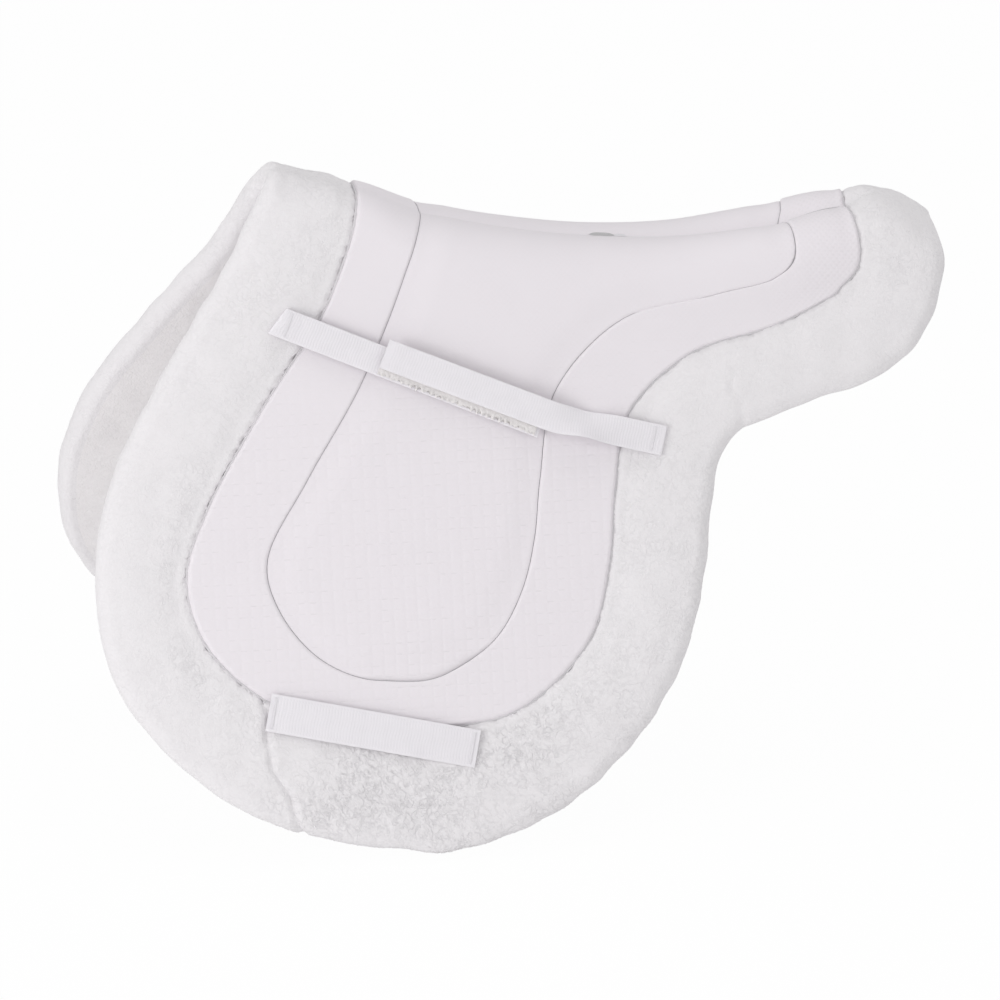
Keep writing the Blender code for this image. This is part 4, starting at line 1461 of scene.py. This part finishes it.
@dataclass
class Webbing:
    """A length of ribbed webbing over the panel."""

    shop: Workshop
    side: Side
    points: tuple[tuple[float, float], ...]
    width: float
    thickness: float = WEBBING
    rib: float = 2.4 * MM
    rib_height: float = 0.14 * MM
    selvedge: float = 1.2 * MM
    row: float = 0.6 * MM
    stitch: float = 0.9 * MM
    thread: float = 1.7 * MM
    selvedge_fade: float = 0.6 * MM
    hem_fade: float = 2.0 * MM
    corner: float = 6.0 * MM
    slant_reach: float = 14.0 * MM
    bar_inset: float = 5.0 * MM
    bar_thickness: float = 0.4 * MM

    def length(self) -> float:
        """Length of the whole line."""
        return sum(math.dist(a, b) for a, b in zip(self.points[:-1], self.points[1:]))

    def places(self, marks: Array) -> Array:
        """Places (along, drop) at lengths along the line, with its corners eased.

        Args:
            marks: Lengths along the line.

        Returns:
            A place for each.
        """
        points = np.array(self.points)
        reach = 60 * MM
        first = (points[1] - points[0]) / math.dist(points[0], points[1])
        last = (points[-1] - points[-2]) / math.dist(points[-1], points[-2])
        points = np.vstack((points[0] - reach * first, points, points[-1] + reach * last))
        lengths = lengths_along(points) - reach
        return np.mean([
            np.stack([np.interp(marks + shift, lengths, values) for values in points.T], axis=-1)
            for shift in np.linspace(-self.corner, self.corner, 7)], axis=0)

    def in_space(self, mark: float, out: float) -> tuple[float, float, float]:
        """The point in space at a length along the line and a height over the cover.

        Args:
            mark: The length along the line.
            out: The height over the cover.

        Returns:
            The point in space.
        """
        along, drop = self.places(np.array(mark))
        down = float(self.shop.back.down(along, drop))
        return tuple(self.shop.back.bend(np.array((along, down, out)), self.side).tolist())

    def skin(self, marks: Array, heights: Array, tilt: Line | None = None,
             slant: float = 0.0) -> tuple[Skin, Array, Array]:
        """The webbing's skin along a path, which may double back under itself at a fold.

        The section is a flat oval: half the width across, and a thickness that falls off at the rim
        as the square root of 1 - (2 w / width) ** 8. It stands square to the path of lengths and
        heights.

        Args:
            marks: Lengths along the line, for each row.
            heights: Height of the webbing's middle at each row.
            tilt: Turn of the section about the line at each length, in radians.
            slant: How far the sewn end is cut aslant, as a share of the distance across.

        Returns:
            The skin, the path's length at each of its points, and the distance across.
        """
        turns = np.linspace(0, 2 * PI, 2 * max(10, round(self.width / MM / 1.1)), endpoint=False)
        across = np.sign(np.cos(turns)) * np.abs(np.cos(turns)) ** 0.9 * self.width / 2
        fall = np.maximum(1 - np.abs(2 * across / self.width) ** 8, 0.0) ** 0.5
        half = self.thickness / 2 * fall * np.sign(np.sin(turns))
        path = np.column_stack((marks, heights))
        run = lengths_along(path)
        tangent = unit(np.gradient(path, run, axis=0))
        angle = np.zeros(len(marks)) if tilt is None else tilt(marks)
        spread = across[None, :] * np.cos(angle)[:, None]
        out = heights[:, None] + half[None, :] * tangent[:, :1]
        out = out + across[None, :] * np.sin(angle)[:, None]
        shift = -half[None, :] * tangent[:, 1:]
        shift = shift + slant * across[None, :] * np.exp(-marks / self.slant_reach)[:, None]
        aside = sideways(self.places(marks + MM) - self.places(marks - MM))
        flat = self.places(marks[:, None] + shift) + aside[:, None, :] * spread[..., None]
        down = self.shop.back.down(flat[..., 0], flat[..., 1])
        lengths = np.broadcast_to(run[:, None], out.shape)
        sides = np.broadcast_to(across[None, :], out.shape)
        skin = self.shop.bent(np.dstack((flat[..., 0], down)), out, self.side,
                              np.dstack((lengths, sides)))
        return skin, skin.facing(lengths), skin.facing(sides)

    def ribbed(self, name: str, marks: Array, heights: Array, *nodes: str, hem: tuple[float, float],
               tilt: Line | None = None, slant: float = 0.0) -> bpy.types.Object:
        """A ribbed length of webbing.

        The ribs are |cos| waves along the path, crossed by slanted threads, inside plain selvedges.

        Args:
            name: The piece's name.
            marks: Lengths along the line, for each row.
            heights: Height of the webbing's middle at each row.
            *nodes: The solids that it stands for.
            hem: How far the ribs stay flattened from the start and from the end.
            tilt: Turn of the section at each length.
            slant: How far the sewn end is cut aslant.

        Returns:
            The piece.
        """
        skin, lengths, sides = self.skin(marks, heights, tilt, slant)
        ribs = np.abs(np.cos(PI * lengths / self.rib))
        inner = eased((self.width / 2 - self.selvedge - np.abs(sides)) / self.selvedge_fade)
        open_weave = 0.25 + 0.75 * eased((lengths - hem[0]) / self.hem_fade) * eased(
            (lengths.max() - hem[1] - lengths) / self.hem_fade)
        threads = np.abs(np.sin(PI * sides / self.thread + PI * lengths / self.rib))
        weave = inner * (ribs * 0.7 + threads * 0.3) * open_weave + (1 - inner) * 0.6
        skin.raise_by(self.rib_height * weave - self.rib_height)
        # The tone darkens the valleys between the ribs and between the threads: painted shade.
        tone = 1 - inner * open_weave * (0.26 * (1 - ribs) ** 2 + 0.2 * (1 - threads) ** 2)
        return self.shop.make(name, skin, tone, Look.WEBBING, *nodes)

    def rows(self, start: float, end: float, pitch: float) -> Array:
        """Lengths along the line from start to end."""
        return np.linspace(start, end, max(4, round((end - start) / pitch) + 1))

    def tape(self, name: str, start: float, end: float, out: Line, body: str, node: str,
             rough: float, ragged: float) -> None:
        """A strip of hook or loop tape, whose face and rim are broken up by its hooks or loops,
        with painted shadow between the tufts at its rim.

        Args:
            name: The piece's name.
            start: Where the tape starts along the line.
            end: Where it ends.
            out: Height of its under face at places along the spine.
            body: The body that it rides on.
            node: The solid that it stands for.
            rough: Height of the hooks or loops.
            ragged: How far they stand out at the rim.
        """
        marks = self.rows(start, end, 0.8 * MM)
        heights = out(self.places(marks)[:, 0]) + self.thickness / 2
        skin, _, sides = self.skin(marks, heights)
        grain = Curls(1.9 * MM, 31, 0.3).at(skin.points)
        tufts = Ripple(4.2 * MM, 32).at(skin.points)
        rim = np.abs(2 * sides / self.width) ** 6
        skin.raise_by(rough * (grain - 0.6) + ragged * rim * tufts)
        # Dark specks at the rim stand for the shadow between the hanging tufts, and the grain's
        # hollows are greyed: painted shadow and shade.
        pocket_shadow = rim * eased((-0.2 - tufts) / 0.6)
        tone = 1 - 0.12 * np.clip(1 - 1.2 * grain, 0, 1) - 0.8 * pocket_shadow
        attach(self.shop.make(name, skin, tone, Look.TAPE, node), body)

    def bar_tack(self, name: str, mark: float, out: float, body: str, node: str) -> None:
        """A bar of close satin stitches across the webbing.

        Args:
            name: The piece's name.
            mark: Length along the line of the bar's middle.
            out: Height of its under face.
            body: The body that it rides on.
            node: The solid that it stands for.
        """
        width = self.width - self.bar_inset
        bar = Webbing(self.shop, self.side, self.points, width, self.bar_thickness)
        marks = self.rows(mark - MM, mark + MM, 0.25 * MM)
        skin, lengths, sides = bar.skin(marks, np.full(len(marks), out + bar.thickness / 2))
        ridge = np.abs(np.sin(PI * sides / self.stitch))
        from_end = np.minimum(lengths, lengths.max() - lengths)
        skin.raise_by(0.1 * MM * ridge - 0.15 * MM * np.exp(-from_end / (0.3 * MM)))
        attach(self.shop.make(name, skin, ridge, Look.WHITE_THREAD, node), body)


@dataclass
class Straps:
    """The girth strap and the two billet straps of one half."""

    shop: Workshop
    side: Side
    seat_gap: float = 0.3 * MM
    tape: float = 1.2 * MM
    tape_gap: float = 0.4 * MM
    tape_margin: float = 3.0 * MM
    anchor_length: float = 20.0 * MM
    under_length: float = 16.5 * MM
    lift: float = 1.5 * MM
    billet_width: float = 25.4 * MM
    girth_width: float = 32.0 * MM
    girth_sewn: float = 9.0 * MM
    front_slant: float = -0.30
    front_line: tuple = ((-0.316, 0.163), (-0.098, 0.260))
    rear_line: tuple = ((0.005, 0.280), (-0.040, 0.268), (-0.087, 0.256), (-0.228, 0.195))
    girth_line: tuple = ((-0.340, 0.489), (-0.253, 0.509), (-0.166, 0.529))
    front_seat: float = 0.785
    rear_seat: float = 0.86
    girth_seat: float = 0.80
    lean: float = math.radians(30.0)
    lean_at: float = 68.0 * MM
    lean_reach: float = 20.0 * MM
    under_row: float = 1.5 * MM
    free_hem: float = 5.0 * MM
    girth_hem: tuple[float, float] = (3.5 * MM, 4.5 * MM)
    hinge_before: float = 3.0 * MM
    hinge_after: float = 6.0 * MM
    loops: tuple[float, float] = (0.6 * MM, 1.5 * MM)
    hooks: tuple[float, float] = (0.4 * MM, 0.2 * MM)

    def __post_init__(self) -> None:
        """Work out the rests of the sewn ends and where the anchors end."""
        shop, side = self.shop, self.side
        self.front = Webbing(shop, side, self.front_line, self.billet_width)
        self.rear = Webbing(shop, side, self.rear_line, self.billet_width)
        self.girth = Webbing(shop, side, self.girth_line, self.girth_width, rib=2.55 * MM)
        self.front_rest, self.rear_rest, self.girth_rest = (
            seat * ROLL_CROWN + self.seat_gap
            for seat in (self.front_seat, self.rear_seat, self.girth_seat))
        self.anchor = 2 * WEBBING + self.tape_gap
        ends = np.array((self.anchor_length,))
        self.front_hinge, self.rear_hinge = (
            float(line.places(ends)[0, 0]) for line in (self.front, self.rear))

    @staticmethod
    def arch(share: Array) -> Array:
        """Rise of a strap that is sewn down at both ends, from 0 at the ends to 1."""
        return 1 - (2 * np.clip(share, 0.0, 1.0) - 1) ** 4

    def front_out(self, along: Array) -> Array:
        """Height of the front strap's under face.

        Args:
            along: Places along the spine.

        Returns:
            One height for each.
        """
        share = np.clip((along - self.front_hinge) / (self.rear_hinge - self.front_hinge), 0.0, 1.0)
        rest = self.front_rest + (self.rear_rest - self.front_rest) * share
        return rest + self.anchor - WEBBING + self.lift * self.arch(share)

    def rear_out(self, along: Array) -> Array:
        """Height of the rear strap's under face, over the front strap and the tapes.

        Args:
            along: Places along the spine.

        Returns:
            One height for each.
        """
        stack = 2 * self.tape + WEBBING + 3 * self.tape_gap
        lap_end = self.front_line[-1][0]
        beyond = eased((along - lap_end) / (self.rear_hinge - lap_end))
        return self.front_out(along) + stack * (1 - beyond)

    def girth_out(self, along: Array) -> Array:
        """Height of the girth strap's under face.

        Args:
            along: Places along the spine.

        Returns:
            One height for each.
        """
        length = self.girth.length()
        first, last = self.girth_line[0][0], self.girth_line[-1][0]
        distance = (along - first) / (last - first) * length
        share = (distance - self.girth_sewn) / (length - 2 * self.girth_sewn)
        return self.girth_rest + self.lift * self.arch(share)

    def rear_tilt(self, marks: Array) -> Array:
        """The rear strap leans where it lifts off the roll."""
        return -self.lean * np.exp(-(((marks - self.lean_at) / self.lean_reach) ** 2))

    def billet(self, end: str, line: Webbing, rest: float, out: Line, slant: float = 0.0,
               tilt: Line | None = None) -> None:
        """One billet strap: folded under and sewn to the roll at one end, free at the other.

        The path runs out under the sewn end, round a half circle and back over it to the free end.

        Args:
            end: "front" or "rear".
            line: The strap's line.
            rest: Height of the sewn end's under face.
            out: Height of the strap's under face at places along.
            slant: How far the sewn end is cut aslant.
            tilt: Turn of the section at each length.
        """
        word, half = self.side.word, WEBBING / 2
        turn = (self.anchor - WEBBING) / 2
        fold = turn + half
        under = line.rows(fold, self.under_length, self.under_row)[::-1]
        bend = np.linspace(-PI / 2, PI / 2, 12)[1:-1]
        over = line.rows(fold, line.length(), line.row)
        marks = np.concatenate((under, fold - turn * np.cos(bend), over))
        heights = np.concatenate((
            np.full(len(under), rest + half), rest + half + turn + turn * np.sin(bend),
            out(line.places(over)[:, 0]) + half))
        sewn = self.under_length + 1.5 * WEBBING
        piece = line.ribbed(f"{word}_{end}_webbing", marks, heights,
                            f"{word}_{end}_billet_anchor", f"{word}_{end}_billet_strap",
                            hem=(sewn, self.free_hem), tilt=tilt, slant=slant)
        level = rest + self.anchor - half
        line.in_space(self.anchor_length - self.hinge_before, level)
        line.in_space(self.anchor_length + self.hinge_after, level)
        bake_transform(piece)
        line.bar_tack(f"{word}_{end}_anchor_tack", self.anchor_length / 2, rest + self.anchor,
                      f"{word}_flap", f"{word}_{end}_billet_bar_tack")

    def build(self) -> None:
        """Make the straps, tapes and bar tacks."""
        word, flap = self.side.word, f"{self.side.word}_flap"
        length = self.girth.length()
        marks = self.girth.rows(0.0, length, self.girth.row)
        heights = self.girth_out(self.girth.places(marks)[:, 0]) + WEBBING / 2
        strap = self.girth.ribbed(f"{word}_girth_webbing", marks, heights, f"{word}_girth_strap",
                                  hem=self.girth_hem)
        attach(strap, flap)
        top = self.girth_rest + WEBBING
        for end, mark in (("front", self.girth_sewn / 2), ("rear", length - self.girth_sewn / 2)):
            self.girth.bar_tack(f"{word}_girth_{end}_tack", mark, top, flap,
                                f"{word}_girth_{end}_bar_tack")
        self.billet("front", self.front, self.front_rest, self.front_out, slant=self.front_slant)
        self.billet("rear", self.rear, self.rear_rest, self.rear_out, tilt=self.rear_tilt)
        lap = math.dist(self.rear_line[-1], self.rear_line[-2])
        width, margin = self.billet_width - self.tape_margin, self.tape_margin
        loop, hook = (Webbing(self.shop, self.side, line, width, self.tape)
                      for line in (self.front_line, self.rear_line))
        loop.tape(f"{word}_loop_pile", loop.length() - lap + 3 * margin, loop.length() - margin,
                  lambda along: self.front_out(along) + WEBBING + self.tape_gap / 2,
                  f"{word}_front_billet", f"{word}_loop_tape", *self.loops)
        hook.tape(f"{word}_hook_pile", hook.length() - lap + margin, hook.length() - 2 * margin,
                  lambda along: self.rear_out(along) - self.tape - self.tape_gap,
                  f"{word}_rear_billet", f"{word}_hook_tape", *self.hooks)


@dataclass
class SeamThreads:
    """Grey tubes laid in the seams of one half along lines of the pattern, as painted shade in the
    seams.
    """

    shop: Workshop
    side: Side

    def lay(self, name: str, line: Line, radius: float, out: float, look: Look) -> None:
        """Lay a thread along a line of the outline.

        Args:
            name: The piece's name, without its side.
            line: The line, by row.
            radius: The thread's radius.
            out: Height of its middle.
            look: Its finish.
        """
        outline = self.shop.outline
        flat = line(outline.evenly(line, 0.0, outline.last, 1.5 * MM))
        flat[[0, -1], 1] = 0.0
        aside = sideways(np.gradient(flat, axis=0))
        turns = np.linspace(0, 2 * PI, 8, endpoint=False)
        places = flat[:, None, :] + aside[:, None, :] * (radius * np.cos(turns))[None, :, None]
        heights = np.full((len(flat), 1), out) + radius * np.sin(turns)[None, :]
        pattern = np.dstack((np.broadcast_to(lengths_along(flat)[:, None], heights.shape),
                             np.broadcast_to(turns * radius, heights.shape)))
        skin = self.shop.bent(places, heights, self.side, pattern)
        tone = np.full(heights.shape, 0.4)
        piece = self.shop.make(f"{self.side.word}_{name}", skin, tone, look)
        self.shop.over_the_fold(piece, self.side)

    def build(self) -> None:
        """Lay the inner seam's grey thread, and the thicker grey tube that closes the groove from
        below; both stand for the shade in the seams.
        """
        outline = self.shop.outline
        self.lay("inner_seam_shade_thread", outline.seam, 0.32 * MM, -1.1 * MM, Look.SEAM_SHADE_THREAD)
        # The groove's grey tube stands for the shade in the groove: painted shade.
        self.lay("groove_thread", outline.groove, 1.5 * MM, -2.7 * MM, Look.GROOVE_THREAD)


@dataclass
class SpineSeam:
    """What shows along the spine seam: grey strips of painted shade at the join of the cantle band
    and inside a gap, and a bar tack.
    """

    shop: Workshop
    cantle: tuple[float, float] = (0.119, 0.170)
    gap: tuple[float, float] = (-0.0435, -0.0215)
    tack: tuple[float, float] = (-0.0225, -0.0115)
    stitch: float = 0.9 * MM

    def strip(self, name: str, ends: tuple[float, float], width: float, out: float, thick: float,
              look: Look) -> None:
        """A thin flat oval strip along the spine: white thread, or a grey strip of painted shade at
        the cantle join or inside a gap.

        Args:
            name: The piece's name.
            ends: Where it starts and ends along the spine.
            width: Its width over the spine at its middle, which tapers to both ends.
            out: Height of its middle.
            thick: Its thickness.
            look: Its finish.
        """
        share = np.linspace(0.0, 1.0, 40)
        along = ends[0] + (ends[1] - ends[0]) * share
        taper = np.maximum(1 - (2 * share - 1) ** 4, 0.02)
        turns = np.linspace(0, 2 * PI, 16, endpoint=False)
        across = width / 2 * taper[:, None] * np.cos(turns)[None, :]
        heights = out + thick / 2 * taper[:, None] * np.sin(turns)[None, :]
        lengths = np.broadcast_to(along[:, None], heights.shape)
        left = self.shop.back.bend(np.dstack((lengths, np.abs(across), heights)), Side.LEFT)
        right = left * (1, -1, 1)
        points = np.where((across < 0)[..., None], left, right)
        skin = Skin(points, np.dstack((lengths, across)))
        ridge = np.abs(np.sin(PI * skin.facing(lengths) / self.stitch))
        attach(self.shop.make(name, skin, ridge, look), "spine")

    def build(self) -> None:
        """Lay the three strips."""
        for name, ends, width, out, thick, look in (
                ("join", self.cantle, 1.1 * MM, 1.35 * MM, 0.5 * MM, Look.SEAM_SHADE_THREAD),
                ("gap", self.gap, 7.5 * MM, 2.1 * MM, 0.5 * MM, Look.DARK_THREAD),
                ("tack", self.tack, 5.5 * MM, 2.1 * MM, 0.8 * MM, Look.WHITE_THREAD)):
            self.strip(f"spine_{name}_thread", ends, width, out, thick, look)


@dataclass
class Studio:
    """The floor, the surround, the lamps and the camera."""

    azimuth: float = -8.0
    elevation: float = 21.9
    distance: float = 16.0
    view_width: float = 0.84
    aim: tuple[float, float] = (-0.1176, -0.19555)
    lit: tuple[float, float, float] = (-0.12, 0.0, -0.15)
    sensor: float = 36.0
    floor_half: float = 6.0
    floor_gap: float = 2.5 * MM

    def build(self) -> None:
        """Set up the studio."""
        self.floor()
        self.world()
        for name, place, size, power in (
                ("front", (-1.0, -3.2, 2.2), 2.6, 20.0), ("right", (2.6, -2.2, 1.0), 2.2, 12.0),
                ("left", (-2.6, -1.8, 0.45), 1.4, 31.0), ("top", (0.2, 0.4, 3.0), 2.4, 30.0)):
            self.lamp(f"{name}_lamp", place, size, power)
        self.camera()
        bpy.context.scene.view_settings.view_transform = "Standard"

    def camera(self) -> None:
        """Place the camera so that the frame spans the view's width at the spine's foot."""
        a, e = math.radians(self.azimuth), math.radians(self.elevation)
        back = np.array((math.sin(a) * math.cos(e), -math.cos(a) * math.cos(e), math.sin(e)))
        right = np.cross((0.0, 0.0, 1.0), back)
        right /= np.linalg.norm(right)
        up = np.cross(back, right)
        target = right * self.aim[0] + up * self.aim[1]
        data = bpy.data.cameras.new("photo_camera")
        data.sensor_width = self.sensor
        data.lens = self.sensor * self.distance / self.view_width
        data.clip_end = 60.0
        camera = bpy.data.objects.new("photo_camera", data)
        place = target + back * self.distance
        matrix = np.eye(4)
        matrix[:3, 0], matrix[:3, 1], matrix[:3, 2], matrix[:3, 3] = right, up, back, place
        camera.matrix_world = Matrix(matrix.tolist())
        bpy.context.scene.collection.objects.link(camera)
        bpy.context.scene.camera = camera

    def lamp(self, name: str, place: tuple[float, float, float], size: float, power: float) -> None:
        """A soft square lamp that faces the pad.

        Args:
            name: The lamp's name.
            place: Where it stands.
            size: The length of its sides.
            power: Its strength in watts.
        """
        data = bpy.data.lights.new(name, "AREA")
        data.shape = "SQUARE"
        data.size = size
        data.energy = power
        lamp = bpy.data.objects.new(name, data)
        lamp.location = place
        towards = Vector(self.lit) - Vector(place)
        lamp.rotation_euler = towards.to_track_quat("-Z", "Y").to_euler()
        bpy.context.scene.collection.objects.link(lamp)

    @staticmethod
    def seen(tree: bpy.types.NodeTree) -> Value:
        """1 where the camera looks, by itself or in a reflection, and 0 for other light.

        Args:
            tree: The node tree to add to.

        Returns:
            The value that comes out.
        """
        paths = tree.nodes.new("ShaderNodeLightPath")
        camera, glossy = (
            Value(tree, paths.outputs[f"Is {ray} Ray"]) for ray in ("Camera", "Glossy"))
        return (camera + glossy).clipped()

    def world(self) -> None:
        """A white surround, which lights less strongly than it shows."""
        world = bpy.data.worlds.new("surround")
        world.use_nodes = True
        tree = world.node_tree
        strength = self.seen(tree) * 0.53 + 0.47
        surround = tree.nodes["Background"]
        surround.inputs["Color"].default_value = (1.0, 1.0, 1.0, 1.0)
        tree.links.new(strength.socket, surround.inputs["Strength"])
        bpy.context.scene.world = world

    def floor(self) -> None:
        """A plain pale floor that keeps a faint shadow."""
        lowest = min(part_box(node)[0].z for node in ("left_flap_roll", "right_flap_roll"))
        half, height = self.floor_half, lowest - self.floor_gap
        corners = [(x * half, y * half, height) for x, y in ((-1, -1), (1, -1), (1, 1), (-1, 1))]
        mesh = bpy.data.meshes.new("floor")
        mesh.from_pydata(corners, [], [(0, 1, 2, 3)])
        floor = bpy.data.objects.new("floor", mesh)
        bpy.context.scene.collection.objects.link(floor)
        shader = Shader("pale_floor")
        tree = shader.tree
        shader.surface.inputs["Base Color"].default_value = (0.9, 0.9, 0.9, 1.0)
        shader.surface.inputs["Roughness"].default_value = 0.9
        glow = shader.node("ShaderNodeEmission", Color=(1.0, 1.0, 1.0, 1.0), Strength=1.0)
        mix = shader.node("ShaderNodeMixShader")
        shader.feed(mix.inputs[0], self.seen(tree) * 0.62 + 0.35)
        shader.feed(mix.inputs[1], shader.surface.outputs[0])
        shader.feed(mix.inputs[2], glow.outputs[0])
        tree.links.new(mix.outputs[0], tree.nodes["Material Output"].inputs["Surface"])
        mesh.materials.append(shader.material)


def main() -> None:
    """Build each sub-assembly in order."""
    logging.basicConfig(level=logging.INFO, format="%(name)s: %(message)s")
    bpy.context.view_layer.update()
    back = Back()
    shop = Workshop(back, Outline(back), {look: look.value.material() for look in Look})
    for side in Side:
        RolledEdge(shop, side).build()
        QuiltBand(shop, side).build()
        SeatPanel(shop, side).build()
        FleeceLining(shop, side).build()
        FoamCore(shop, side).build()
        Straps(shop, side).build()
        SeamThreads(shop, side).build()
    SpineSeam(shop).build()
    Studio().build()


if __name__ == "__main__":
    main()
